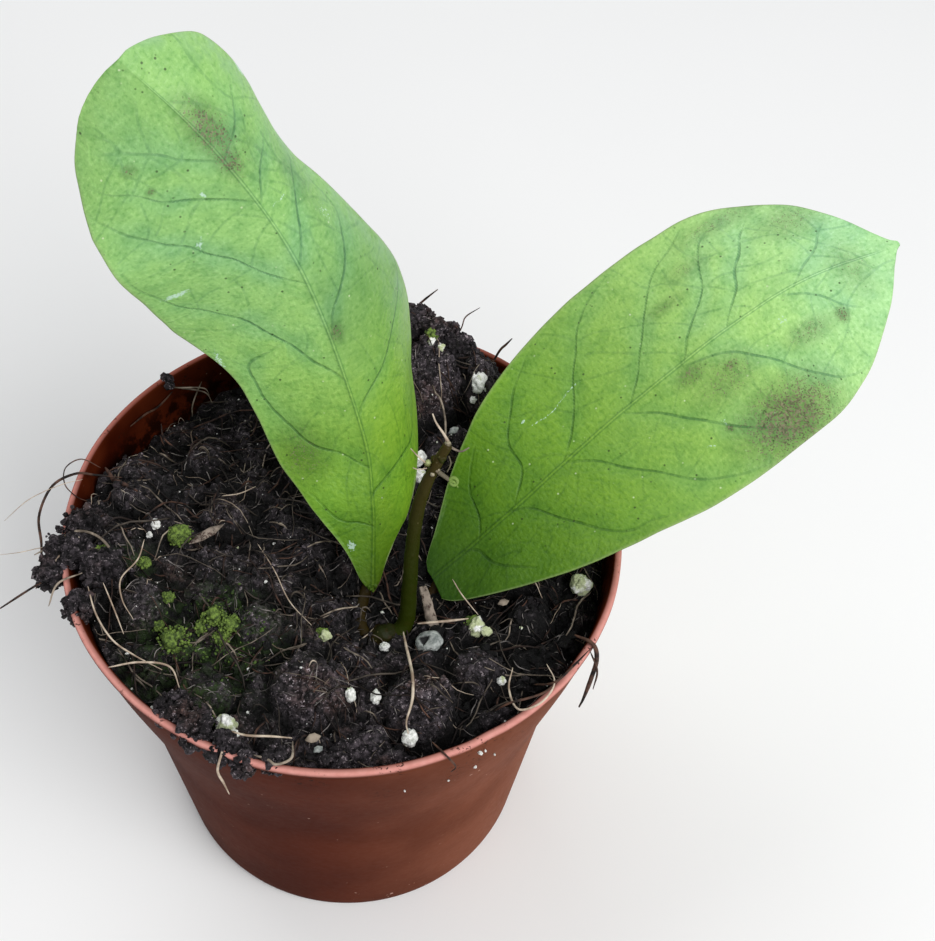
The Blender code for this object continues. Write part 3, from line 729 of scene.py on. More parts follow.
# %% Scatter small lumps
def ball(detail):
    """Points and faces of a round ball made of triangles."""
    work = bmesh.new()
    bmesh.ops.create_icosphere(work, subdivisions=detail, radius=1)
    mesh = bpy.data.meshes.new("ball")
    work.to_mesh(mesh)
    work.free()
    points = np.empty(len(mesh.vertices) * 3)
    mesh.vertices.foreach_get("co", points)
    faces = np.empty(len(mesh.polygons) * 3, int)
    mesh.polygons.foreach_get("vertices", faces)
    bpy.data.meshes.remove(mesh)
    return points.reshape(-1, 3), faces.reshape(-1, 3)


def copies(name, shaped, faces, finish, smooth=True):
    """One mesh from shaped[n, point]: n balls, each with the same faces as the first."""
    index = faces + (np.arange(len(shaped)) * shaped.shape[1])[:, None, None]
    index = index.reshape(-1, 3).tolist()
    return add_mesh(name, shaped.reshape(-1, 3), index, finish, smooth=smooth)


def scattered(name, places, sizes, finish, rng, rough=0.35, smooth=True):
    """Copies of a ball: place + turn @ (ball * stretch * size * (1 + rough * noise))."""
    points, faces = ball(1)
    count = len(places)
    turns = np.linalg.qr(rng.normal(size=(count, 3, 3)))[0]
    turns *= np.sign(np.linalg.det(turns))[:, None, None]
    stretch = rng.uniform(0.65, 1.3, (count, 1, 3))
    shift = rng.uniform(-50, 50, (count, 1, 3))
    push = value_noise(points + shift, 0.9, 3) + 0.5 * value_noise(points + shift, 0.4, 4)
    shaped = points * stretch * (1 + rough * push[..., None]) * np.reshape(sizes, (-1, 1, 1))
    shaped = np.einsum("nij,nkj->nki", turns, shaped) + np.asarray(places)[:, None]
    return copies(name, shaped, faces, finish, smooth)


def on_soil(rng, count, reach=56.5):
    """Random places (x, y) spread evenly over the soil's round surface."""
    radius = reach * np.sqrt(rng.uniform(0, 1, count))
    angle = rng.uniform(0, math.tau, count)
    return radius * np.cos(angle), radius * np.sin(angle)


# %% Loose crumbs, with more of them on the heap at the back
LOOSE = 3600
ON_HEAP = 500
# A ball of detail 1 has 12 points
BALL_POINTS = 12
rng = np.random.default_rng(41)
x, y = on_soil(rng, LOOSE)
size = rng.uniform(0.25, 0.65, LOOSE) + 1.0 * rng.uniform(0, 1, LOOSE) ** 6
x = np.append(x, rng.normal(14, 12, ON_HEAP))
y = np.append(y, rng.normal(46, 5, ON_HEAP))
size = np.append(size, rng.uniform(0.4, 1.3, ON_HEAP))
inside = np.hypot(x, y) < 57
x, y, size = x[inside], y[inside], size[inside]
crumb_places = np.stack([x, y, peat_height(x, y) + 0.25 * size], 1)
loose = scattered("loose_crumbs", crumb_places, size, peat, rng, rough=0.6, smooth=False)
light = 0.3 + 1.5 * rng.uniform(0, 1, len(x)) ** 2
paint_points(loose, "moss", np.repeat(moss_share(x, y), BALL_POINTS) * 0.5)
# Painted light and shade: each crumb gets the share of the peat under it, scaled at random.
paint_points(loose, "raised", np.repeat(painted_light_share(x, y) * light, BALL_POINTS))

# %% Peat over the lip
# Lumps: x, y, z, radius
SPILLS = (
    (-55.0, -7, 103.8, 4.6), (-57.0, -13, 103.2, 4.8), (-59.4, -18.5, 102.0, 3.1),
    (-52.0, -26, 102.3, 3.2), (-49.0, -16, 102.4, 5.2), (-60.8, -17.5, 100.4, 2.4),
    (-23.5, -51.5, 102.3, 3.8), (-17.5, -55.0, 102.2, 3.2), (-13.0, -57.6, 101.6, 2.5),
    (-7.5, -56.8, 102.0, 2.4), (-28.5, -47.6, 102.0, 3.4),
    (-46.3, 37.0, 103.6, 0.7), (-45.4, 37.2, 103.2, 0.5), (-45.0, 35.8, 102.8, 0.6),
)
spill = np.array(SPILLS)
points, faces = ball(5)
around = points[None] * 7 + spill[:, None, :3]
push = 0.3 * value_noise(around, 4.5, 21) + 0.22 * value_noise(around, 2, 22)
push += 0.16 * value_noise(around, 0.9, 23)
lumps = spill[:, None, :3] + points * (spill[:, 3:, None] * (0.94 + push[..., None]))
spills = copies("peat_over_lip", lumps, faces, peat)
paint_points(spills, "moss", np.zeros(lumps.shape[:2]))
# Painted light: the lumps are paler where they bulge out.
paint_points(spills, "raised", 0.28 + 1.2 * push)

RIM_CRUMBS = 760
pick = rng.integers(0, len(spill), RIM_CRUMBS)
away = rng.normal(size=(RIM_CRUMBS, 3))
away[:, 2] = np.abs(away[:, 2]) * 0.8
away /= np.linalg.norm(away, axis=1)[:, None]
reach = spill[pick, 3] * rng.uniform(0.85, 1.2, RIM_CRUMBS)
rim_places = spill[pick, :3] + away * reach[:, None]
crumb_sizes = 0.25 + 0.9 * rng.uniform(0, 1, RIM_CRUMBS) ** 2
rim_crumbs = scattered("rim_crumbs", rim_places, crumb_sizes, peat, rng, smooth=False)
paint_points(rim_crumbs, "moss", np.zeros(RIM_CRUMBS * BALL_POINTS))
# Painted light: each crumb over the lip gets a random share.
paint_points(rim_crumbs, "raised", np.repeat(rng.uniform(0.1, 0.9, RIM_CRUMBS), BALL_POINTS))

# %% [markdown]
# ## Perlite and moss
#
# The white grains are perlite, a puffed glass, so they are knobbly and matte. Some carry a green
# film of algae. Moss grows in small bright cushions, each a heap of tiny blobs round a solid
# heart, and in a dark film between them.

# %% Perlite
# Grains: x, y, radius, green film
GRAINS = (
    (-18.2, -49.3, 2.7, 0.4), (-16.8, -50.8, 1.5, 0.2), (26.4, 36.6, 1.9, 0), (25.4, 34.0, 1.0, 0),
    (29.6, -19.6, 1.7, 0.6), (31.9, -20.6, 1.1, 0.8), (17.9, -48.0, 1.7, 0), (5.4, -39.6, 1.2, 0),
    (10.4, -39.4, 1.3, 0), (15.1, 41.2, 1.0, 0.3), (17.2, 40.6, 0.9, 0.3), (52.0, -7.2, 2.1, 0.7),
    (-40.4, -4.4, 0.95, 0), (-41.2, -7.0, 0.7, 0), (-32.4, -45.0, 1.5, 0.2), (35.6, -33.8, 0.9, 0.2),
    (14.2, 21.0, 1.5, 0.1), (14.4, 17.0, 1.6, 0), (11.0, -25.9, 1.1, 0), (-1.6, -25.6, 1.2, 1.0),
)
perlite = Finish("perlite", Roughness=0.85)
pores = perlite.noise(0.8, 4, 0.6)
white = perlite.graded(pores, 0.3, 0.65, rgb(190, 192, 184), rgb(252, 252, 248))
algae = perlite.step(perlite.noise(2.6, 3) + 0.3 * perlite.stored("algae"), 0.58, 0.7)
perlite.feed("Base Color", perlite.mix(algae * 0.75, white, rgb(168, 180, 116)))
perlite.bump(pores, 0.4)


def knobbly(name, places, sizes, finish, rough, detail=4, flatten=0.0):
    """Bigger lumps: place + ball * size * stretch * (1 + rough * noise), one for each place.

    Each is then pressed to (1 - flatten) of its height.
    """
    points, faces = ball(detail)
    places, sizes = np.array(places, float)[:, None], np.reshape(sizes, (-1, 1, 1))
    around = points * 2 + places * 3
    push = value_noise(around, 1.3, 31) + 0.5 * value_noise(around, 0.5, 32)
    stretch = 1 + 0.4 * np.stack([value_noise(places, 2.3, seed) for seed in (33, 34, 35)], -1)
    shaped = places + points * sizes * stretch * (1 + rough * push[..., None])
    shaped[..., 2] -= flatten * (shaped[..., 2] - places[..., 2])
    return copies(name, shaped, faces, finish)


def seated(x, y, lift=0.0):
    """Places (x, y, z) on whichever is higher, the broad form or the crumbs, and lift above it."""
    return np.stack([x, y, np.maximum(peat_height(x, y), broad_height(x, y)) + lift], 1)


grain_x, grain_y, grain_size, film = np.array(GRAINS).T
grain_places = seated(grain_x, grain_y, 0.45 * grain_size)
grains = knobbly("perlite", grain_places, grain_size, perlite, rough=0.36)
paint_points(grains, "algae", np.repeat(film, len(grains.data.vertices) // len(film)))
BITS = 240
x, y = on_soil(rng, BITS)
small_white = np.stack([x, y, peat_height(x, y) + 0.15], 1)
scattered("perlite_bits", small_white, 0.1 + 0.4 * rng.uniform(0, 1, BITS) ** 4, perlite, rng)

# Bits stuck to the outside of the pot: x, y, z, size
WALL_BITS = (
    (32.2, -49.4, 97.7, 0.5), (33.2, -48.9, 97.9, 0.35), (31.6, -47.4, 87.6, 0.35),
    (35.4, -45.4, 89.8, 0.3), (26.4, -50.5, 86.8, 0.3), (17.8, -54.5, 88.8, 0.3),
)
*bit_places, bit_sizes = zip(*WALL_BITS)
scattered("wall_bits", np.stack(bit_places, 1), bit_sizes, perlite, rng)

# %% Moss cushions
moss = Finish("moss", Roughness=0.8)
tuft = moss.noise(0.9, 4, 0.7)
moss.feed("Base Color", moss.graded(tuft, 0.34, 0.7, rgb(46, 63, 22), rgb(124, 150, 64)))
moss.bump(tuft, 0.4)
# Cushions: x, y, radius
CUSHIONS = (
    (-35.1, -5.6, 2.3), (-31.6, -31.4, 2.8), (-35.2, -28.0, 0.9), (-24.3, -25.4, 2.0),
    (-21.0, -26.6, 1.9), (-22.4, -29.2, 1.6), (-26.6, -27.4, 1.4), (-34.4, -21.8, 1.1),
    (-41, -14, 1.1), (-50, -13, 1.4), (29.0, -18.6, 1.5), (51.4, -6.4, 1.2),
    (15, 43, 1.2), (-2.2, -24.9, 1.2), (-22, -47.5, 1.1),
)
TUFTS = 110
cushion_x, cushion_y, cushion_size = np.array(CUSHIONS).T
out = rng.normal(size=(len(CUSHIONS), TUFTS, 3))
out[..., 2] = np.abs(out[..., 2])
out /= np.linalg.norm(out, axis=2)[..., None]
out *= (1.2, 1.2, 0.8)
out *= cushion_size[:, None, None]
hearts = seated(cushion_x, cushion_y)
tufts = hearts[:, None] + out * rng.uniform(0.7, 1.12, (len(CUSHIONS), TUFTS, 1))
tuft_sizes = rng.uniform(0.16, 0.42, len(CUSHIONS) * TUFTS)
scattered("moss_cushions", tufts.reshape(-1, 3), tuft_sizes, moss, rng)
knobbly("moss_hearts", hearts, cushion_size * 1.04, moss, rough=0.3, detail=3, flatten=0.2)

# %% Moss film
FILM = 1500
x, y = rng.normal(-23, 6, FILM), rng.normal(-30, 5.5, FILM)
patchy = np.clip(0.5 + value_noise(np.stack([x, y], -1), 4, 36), 0, 1)
keep = rng.uniform(0, 1, FILM) < moss_share(x, y) * patchy
x, y = x[keep], y[keep]
low_moss = np.stack([x, y, peat_height(x, y)], 1)
moss_dark = Finish("moss_dark", Roughness=0.8)
tuft = moss_dark.noise(0.9, 4, 0.7)
moss_dark.feed("Base Color", moss_dark.graded(tuft, 0.4, 0.75, rgb(32, 48, 22), rgb(100, 130, 48)))
scattered("moss_film", low_moss, rng.uniform(0.14, 0.4, len(x)), moss_dark, rng)

# %% [markdown]
# ## Fibres and roots
#
# Peat is full of fine fibres: tan, brown, black and grey. Each lies on the crumbs in a loose
# bend, here and there lifted off them. Some single roots are easy to pick out in the real pot,
# such as the long white one in front of the shoot and the dark loops outside the left rim, and
# they get a path of their own.

# %% Fibre finishes
def fibre_finish(name, dull, bright):
    """Root bark: two colours in blotches along the root. Faded fibres are dark with peat."""
    made = Finish(name, Roughness=0.7, Specular_IOR_Level=0.3)
    bark = made.graded(made.noise(2.5, 3), 0.35, 0.65, dull, bright)
    made.feed("Base Color", made.mix(made.stored("faded"), bark, rgb(26, 21, 20)))
    return made


tan = fibre_finish("tan_fibre", rgb(92, 82, 72), rgb(164, 150, 134))
dark = fibre_finish("dark_fibre", rgb(24, 18, 17), rgb(92, 66, 54))
grey = fibre_finish("peat_strand", rgb(28, 26, 27), rgb(164, 156, 152))
pale = fibre_finish("pale_root", rgb(150, 130, 112), rgb(206, 190, 170))

# %% Fine fibres
FIBRE_REACH = 56
FIBRE_RINGS = 7


def loose_fibres(name, count, long, thick, lift, finish, sides=5):
    """Paths start + l (cos a, sin a) + a sideways bend l^2, on the soil plus a low arch.

    Six in ten lie along one grain, which turns slowly over the soil.
    """
    x, y = on_soil(rng, count, FIBRE_REACH)
    with_grain = rng.uniform(0, 1, count) < 0.6
    grain = math.tau * value_noise(np.stack([x, y], -1), 11, 41) + rng.normal(0, 0.35, count)
    angle = np.where(with_grain, grain, rng.uniform(0, math.tau, count))
    length = long[0] + (long[1] - long[0]) * rng.uniform(0, 1, count) ** 2
    bend = rng.normal(0, 0.3, count)
    l = np.linspace(-0.5, 0.5, FIBRE_RINGS)
    run = l * length[:, None]
    sway = (bend[:, None] * (l**2 - 0.08) + 0.025 * np.sin(9 * l + angle[:, None])) * length[:, None]
    px = x[:, None] + run * np.cos(angle)[:, None] - sway * np.sin(angle)[:, None]
    py = y[:, None] + run * np.sin(angle)[:, None] + sway * np.cos(angle)[:, None]
    hold = np.minimum(1, (FIBRE_REACH + 0.5) / np.maximum(np.hypot(px, py), 1))
    px, py = px * hold, py * hold
    ground = peat_height(px, py)
    for _ in range(3):
        ground[:, 1:-1] = (ground[:, :-2] + 2 * ground[:, 1:-1] + ground[:, 2:]) / 4
    arch = lift * rng.uniform(0, 1, (count, 1)) ** 3 * (1 - 4 * l**2)
    tip = 0.35 * lift * rng.uniform(-0.3, 1, (count, 1)) ** 3 * (l + 0.5)
    pz = ground + 0.35 + arch + tip
    radius = rng.uniform(*thick, (count, 1)) * (1 - 0.5 * np.abs(2 * l) ** 2)
    piece = skin(name, tubes(np.stack([px, py, pz], -1), radius, sides), finish)
    faded = 1 - rng.uniform(0.1, 1, count) ** 1.6
    paint_points(piece, "faded", np.repeat(faded, FIBRE_RINGS * sides))


# How many, their lengths, radii and highest arch in mm, and their finish
loose_fibres("tan_fibres", 290, (3, 19), (0.07, 0.24), 3.5, tan)
loose_fibres("dark_fibres", 410, (3, 20), (0.08, 0.26), 3.0, dark)
loose_fibres("pale_fibres", 110, (2, 12), (0.06, 0.15), 2.5, pale)
loose_fibres("peat_strands", 1750, (1.0, 5.5), (0.05, 0.15), 0.8, grey, sides=4)

# %% Roots with a path of their own
# Roots: finish, radius, path (x, y, z)
ROOTS = {
    "long_white_root": (pale, 0.32, (
        (14.6, -23.0, 98.0), (14.8, -24.0, 98.4), (15.6, -27.5, 99.6), (17.2, -34, 101.2),
        (18.0, -41, 102.6), (17.2, -46, 101.9), (17.8, -48.4, 101.4),
    )),
    "root_by_bark": (pale, 0.28, (
        (17.4, -20.6, 97.8), (20, -20.6, 98.6), (24, -20.0, 98.9), (28, -18.9, 98.6),
    )),
    "root_on_leaf": (pale, 0.15, (
        (24.0, -11.8, 102.4), (26.0, -14.0, 100.6), (28.5, -16.2, 99.0), (30.0, -17.6, 98.4),
    )),
    "left_loop": (dark, 0.3, (
        (-50, 7.5, 103.5), (-55.6, 6.8, 104.6), (-59.6, 6, 105.6), (-64, 2.6, 105), (-65.6, -4, 103),
        (-63.5, -11, 102.3), (-62.4, -17, 101), (-62.5, -21, 100.5),
    )),
    "left_loop_thin": (dark, 0.14, (
        (-55, 9, 104.5), (-59, 9.4, 106.5), (-62, 7, 106), (-61.5, 3.5, 104.6), (-58.5, 1, 104),
        (-56, 0, 104),
    )),
    "left_far_pale": (pale, 0.09, ((-58, 5, 105), (-62, 2.3, 106), (-67.3, -2.7, 106.8), (-71, -9, 107))),
    "left_far_tan": (pale, 0.09, (
        (-56, -11.6, 104), (-62, -13, 104.3), (-66.8, -14.7, 104.2), (-71, -15.6, 104),
    )),
    "left_low_dark": (dark, 0.24, (
        (-56, -15, 103), (-60.6, -20, 102.5), (-64, -23, 102), (-70, -28.5, 101),
    )),
    "left_brown_band": (tan, 0.3, (
        (-64, -14.4, 103.2), (-60, -12.2, 104.6), (-56, -9.8, 106.4), (-51, -10.6, 106.4),
        (-47, -14.4, 105.6), (-45, -19.6, 104.4),
    )),
    "left_pale_twig": (pale, 0.3, ((-60.4, -18.4, 103.0), (-57.4, -14.6, 105.6), (-54.6, -11.4, 106.8))),
    "left_tan_upright": (tan, 0.22, ((-58.6, -25.6, 101.4), (-57.2, -21.6, 104.0), (-52.4, -19.4, 105.4))),
    "hanging_root": (dark, 0.5, (
        (50, -24, 103.5), (53.6, -26.8, 105), (54.8, -28.2, 101.5), (54.4, -29, 95), (53.6, -29.8, 88),
        (53.0, -30.2, 85),
    )),
    "hanging_root_side": (dark, 0.22, ((53.2, -28.0, 104), (55.2, -29.4, 99), (55.0, -30.6, 93.5))),
    "front_pale": (pale, 0.26, (
        (-17, -53.5, 104.6), (-17.2, -57, 104.4), (-17.8, -59.6, 102), (-16.8, -60.4, 98.5),
        (-15.9, -61, 95),
    )),
    "front_tan": (pale, 0.24, (
        (-16.4, -52.6, 105.0), (-12.9, -53.6, 105.6), (-8.4, -53.2, 105.2), (-4.4, -52.6, 104),
    )),
    "front_tan_bent": (tan, 0.28, (
        (-11.1, -57.0, 104.4), (-8.3, -57.8, 104.6), (-6.6, -58.6, 104.4), (-3.9, -57.1, 104.5),
        (-4.2, -53.2, 103.8),
    )),
    "left_rim_tan": (pale, 0.2, (
        (-50.6, -22.4, 105.2), (-47.6, -28.6, 104.6), (-43.4, -33.6, 103.6), (-38.6, -36.2, 102.6),
        (-32.6, -38.4, 101.4),
    )),
    "left_rim_pale": (pale, 0.16, ((-47.8, -21.0, 104.8), (-44.8, -26.0, 103.8), (-41.6, -31.6, 102.8))),
    "left_rim_low": (pale, 0.22, (
        (-42.4, -40.8, 105.0), (-36.6, -39.0, 104.8), (-30.8, -38.8, 103.6), (-28.2, -42.6, 101.6),
    )),
    "left_bent": (pale, 0.17, (
        (-41.6, -9.4, 104.8), (-42.0, -14.4, 104.6), (-44.4, -19.8, 104.8), (-43.2, -24.4, 103.8),
        (-40.4, -28.0, 102.8),
    )),
    "left_tan_line": (pale, 0.13, (
        (-18.5, -5.3, 100.6), (-13.8, -12.3, 101.2), (-9.6, -19.5, 100.8), (-4.4, -24.4, 100),
    )),
    "left_chip_line": (pale, 0.13, ((-28.0, 6.0, 101.6), (-24.2, 6.6, 102.2), (-21.0, 9.0, 102.0))),
    "across_tan": (tan, 0.18, ((-3.1, -21.2, 98.5), (0.5, -19.7, 99.5), (4.5, -18, 98.5))),
    "right_fork": (pale, 0.15, (
        (29, -12.6, 99.6), (34.0, -9.6, 101.6), (40.6, -9.2, 101.2), (43.4, -12.6, 99.0),
    )),
    "right_low": (pale, 0.22, (
        (37.6, -32.6, 103), (37.0, -38, 103.8), (39, -43.2, 105.2), (43.4, -41.4, 105.4),
        (46.0, -36.4, 104.8), (44.4, -31.6, 103.8),
    )),
    "right_rim_loop": (dark, 0.24, (
        (34, -42.5, 102), (37, -42.4, 105.8), (40.7, -41.2, 106.3), (44.1, -39.2, 105.8), (47, -35, 104),
    )),
    "right_rim_tan": (dark, 0.26, ((42, -35, 101), (46, -36.4, 105.0), (50, -32, 105.2), (53, -28, 104.8))),
    "rim_clump_root": (tan, 0.18, (
        (-45.6, 36.4, 101.5), (-43.3, 37.2, 100.7), (-38.0, 38.4, 99.8), (-36.5, 37.7, 98.2),
    )),
    "wall_black": (dark, 0.24, (
        (-44.6, 35.6, 101), (-46.4, 33.0, 100), (-48.0, 31.0, 99.6), (-49.6, 28.6, 100.4),
        (-52, 24, 101.2),
    )),
    "rim_twig": (dark, 0.22, (
        (22.6, -50.8, 103.4), (25.5, -54.1, 104.7), (27.5, -54.9, 102.0), (26.7, -55.4, 100.5),
    )),
    "wall_black_low": (dark, 0.22, ((-46, 27.6, 98.6), (-44.6, 23.8, 98.0), (-40.4, 20.4, 98.0))),
    "black_band": (dark, 0.5, ((-54.6, 10.6, 102.6), (-50, 5.4, 101.6), (-45.6, 3.0, 100.6))),
    "back_arch": (tan, 0.18, (
        (-47, 36, 96), (-46, 37.5, 99.5), (-42.5, 38.5, 99), (-38, 39.5, 97), (-36.5, 39, 94),
    )),
    "back_upright": (tan, 0.18, ((-38.7, 40.2, 100), (-40, 39, 97), (-41, 37.5, 94), (-41, 36, 91))),
    "heap_black": (dark, 0.26, ((8, 50, 114), (9.7, 51.7, 117), (12.3, 53.2, 119.5), (15.4, 54.1, 122.5))),
    "heap_black_thin": (dark, 0.16, (
        (20, 49, 110), (21.5, 51, 114), (22.3, 52, 116.5), (25.4, 52.3, 119.5),
    )),
    "heap_brown": (dark, 0.3, ((29, 47, 106), (30.8, 49.2, 109), (32.1, 49.8, 110.5), (33.4, 50, 112.5))),
    "heap_brown_bend": (tan, 0.24, ((16, 34, 110), (18, 31, 111), (19.5, 27, 108.5), (20, 23, 104))),
}
ROOT_RINGS = 48
ROOT_SIDES = 8
along = np.linspace(0, 1, ROOT_RINGS)
for name, (finish, radius, points) in ROOTS.items():
    path = smooth_through(points, along)
    lying = np.hypot(path[:, 0], path[:, 1]) < FIBRE_REACH + 0.5
    lowest = np.where(lying, broad_height(path[:, 0], path[:, 1]) + 0.9, 0)
    path[:, 2] = np.maximum(path[:, 2], lowest)
    thick = radius * np.interp(along, (0, 0.1, 0.3, 0.7, 1), (0.35, 0.8, 1, 1, 0.4))
    skin(name, tubes(path[None], thick[None], ROOT_SIDES), finish)

# %% [markdown]
# ## Leaf blades
#
# A hoya leaf is thick and a little folded along its midrib. The blade is worked out as a grid:
# the midrib is a smooth curve, and each half is carried sideways from it in an arc, turning as it
# goes. The two numbers of a place on the blade are u, the share of the way from stalk to tip,
# and v, which runs from -1 at the left margin to 1 at the right one. Veins are given as paths in
# these numbers, so they follow the blade however it bends.

# %% Leaf shapes
# Widths are in mm at WIDTH_PLACES, turns in degrees at TURN_PLACES, and the petiole is the
# stalk's path from the node up to the blade
WIDTH_PLACES = (0, 0.05, 0.12, 0.25, 0.4, 0.45, 0.55, 0.7, 0.82, 0.92, 0.97, 0.99, 1)
TURN_PLACES = (0, 0.25, 0.5, 0.75, 1)
LEAF_THICKNESS = 1.3
LEAVES = {
    "leaf_left": {
        "midrib": (
            (7.0, -10.8, 97.6), (6.3, -2.4, 113.4), (3, 6, 129), (-8.5, 12.5, 165), (-22, 13, 191),
            (-37.2, 14, 208.6),
        ),
        "facing": ((0.19, -0.94, 0.28),) * 3,
        "left_width": (0.9, 5.0, 11.3, 18.8, 20.8, 23.0, 29.1, 29.9, 28.0, 23.0, 15.3, 8.9, 1),
        "right_width": (0.9, 4.8, 15.4, 24, 28, 26.8, 22.5, 18, 19.6, 16.4, 9.8, 5.6, 1),
        "left_turn": (-5, -6, -9, 1, -15),
        "right_turn": (-37, -58, -51, -65, -43),
        "lobe": (1.4, 2.6, 1.4),
        "twig_seed": 79,
        "petiole": ((6.6, -21.6, 92.8), (4.8, -17.2, 93.2), (5.4, -11.2, 93.9)),
    },
    "leaf_right": {
        "midrib": (
            (21, -7.5, 98), (37.5, 4.5, 110), (58.5, 21, 124.5), (88, 40, 142.5), (114, 52.5, 148.5),
        ),
        "facing": ((-0.4, -0.38, 0.83), (-0.38, -0.34, 0.86), (-0.2, -0.26, 0.94)),
        "left_width": (1.5, 8.5, 15.6, 23.3, 27.8, 28.8, 29.8, 29.6, 24, 14.3, 4.9, 1.5, 0.3),
        "right_width": (5, 11.4, 16.6, 23.6, 28.2, 29.0, 29.8, 29.2, 25, 14, 4.6, 1.3, 0.3),
        "left_turn": (-2, 3, 0, -5, -8),
        "right_turn": (7, 4, -7, -10, 0),
        "lobe": (1.9, 2.0, 2.9),
        "twig_seed": 80,
        "petiole": ((13.6, -19.8, 91.6), (17.4, -14.8, 91.8), (20.0, -9.4, 93.6)),
    },
}


def ease_through(places, values, wanted):
    """A curve through the values with no overshoot, made of cubic spans.

    The slope where two spans meet is the harmonic mean of their rates, or 0 where the rates
    change sign.
    """
    places, values = np.asarray(places, float), np.asarray(values, float)
    step = np.diff(places)
    rate = np.diff(values) / step
    same = rate[:-1] * rate[1:] > 0
    mean = 2 * rate[:-1] * rate[1:] / np.where(same, rate[:-1] + rate[1:], 1)
    slope = np.concatenate([rate[:1], np.where(same, mean, 0), rate[-1:]])
    span = np.clip(np.searchsorted(places, wanted, side="right") - 1, 0, len(step) - 1)
    h, start, end = step[span], values[span], values[span + 1]
    t = (wanted - places[span]) / h
    blend = start * (1 + 2 * t) * (1 - t) ** 2 + end * t**2 * (3 - 2 * t)
    return blend + h * t * (1 - t) * (slope[span] * (1 - t) - slope[span + 1] * t)


# %% Surface of a blade
def blade_surface(leaf, rows, half):
    """(places, u, s): midrib + side * s cos + facing * s sin, summed outwards in small steps.

    The slope at share m of the half width is turn * (0.5 + m). s is the way across in mm, less
    than 0 on the left. The square of the width is eased along u, which makes round ends. The
    widths are then averaged under a bell, except near both ends, so that the margin has no
    corners. The base reaches back by lobe * e^(-(u / 0.06)^2), where lobe is given for the left
    margin, the midrib and the right margin.
    """
    even = np.linspace(0, 1, rows)
    u = 0.4 * even + 0.3 * (1 - np.cos(math.pi * even))
    rib = smooth_through(leaf["midrib"], u)
    heading = np.gradient(rib, axis=0)
    heading /= np.linalg.norm(heading, axis=1)[:, None]
    facing = np.stack([np.interp(u, (0, 0.5, 1), axis) for axis in zip(*leaf["facing"])], 1)
    facing -= (facing * heading).sum(1)[:, None] * heading
    facing /= np.linalg.norm(facing, axis=1)[:, None]
    sideways = np.cross(heading, facing)
    places = np.empty((rows, 2 * half + 1, 3))
    across = np.zeros((rows, 2 * half + 1))
    for side, name in ((-1, "left"), (1, "right")):
        width = np.sqrt(ease_through(WIDTH_PLACES, np.square(leaf[name + "_width"]), u))
        weight = hump(u[:, None] - u, 0.02) * np.gradient(u)
        soft = (weight * width).sum(1) / weight.sum(1)
        keep = np.clip((np.abs(u - 0.47) - 0.42) / 0.05, 0, 1)
        width = (soft + keep * (width - soft))[:, None]
        turn = np.radians(ease_through(TURN_PLACES, leaf[name + "_turn"], u))[:, None]
        slope = turn * (0.5 + (np.arange(half) + 0.5) / half)
        out, rise = (np.cumsum(part, 1) / half * width for part in (np.cos(slope), np.sin(slope)))
        columns = half + side * (np.arange(half) + 1)
        offset = side * out[..., None] * sideways[:, None] + rise[..., None] * facing[:, None]
        places[:, columns] = rib[:, None] + offset
        across[:, columns] = side * width * (np.arange(half) + 1) / half
    places[:, half] = rib
    lobe = np.interp(np.linspace(-1, 1, 2 * half + 1), (-1, 0, 1), leaf["lobe"])
    places -= (lobe * hump(u[:, None], 0.06))[..., None] * heading[:, None]
    return places, u, across


# %% [markdown]
# The veins branch off the midrib and run up towards the margin, where they join in loops. On
# the upper side they are dark, slightly sunken lines, and the midrib is a pale ridge. How near a
# place is to a vein decides both its colour and its depth, so that distance is measured once
# for each point, on the blade laid flat.

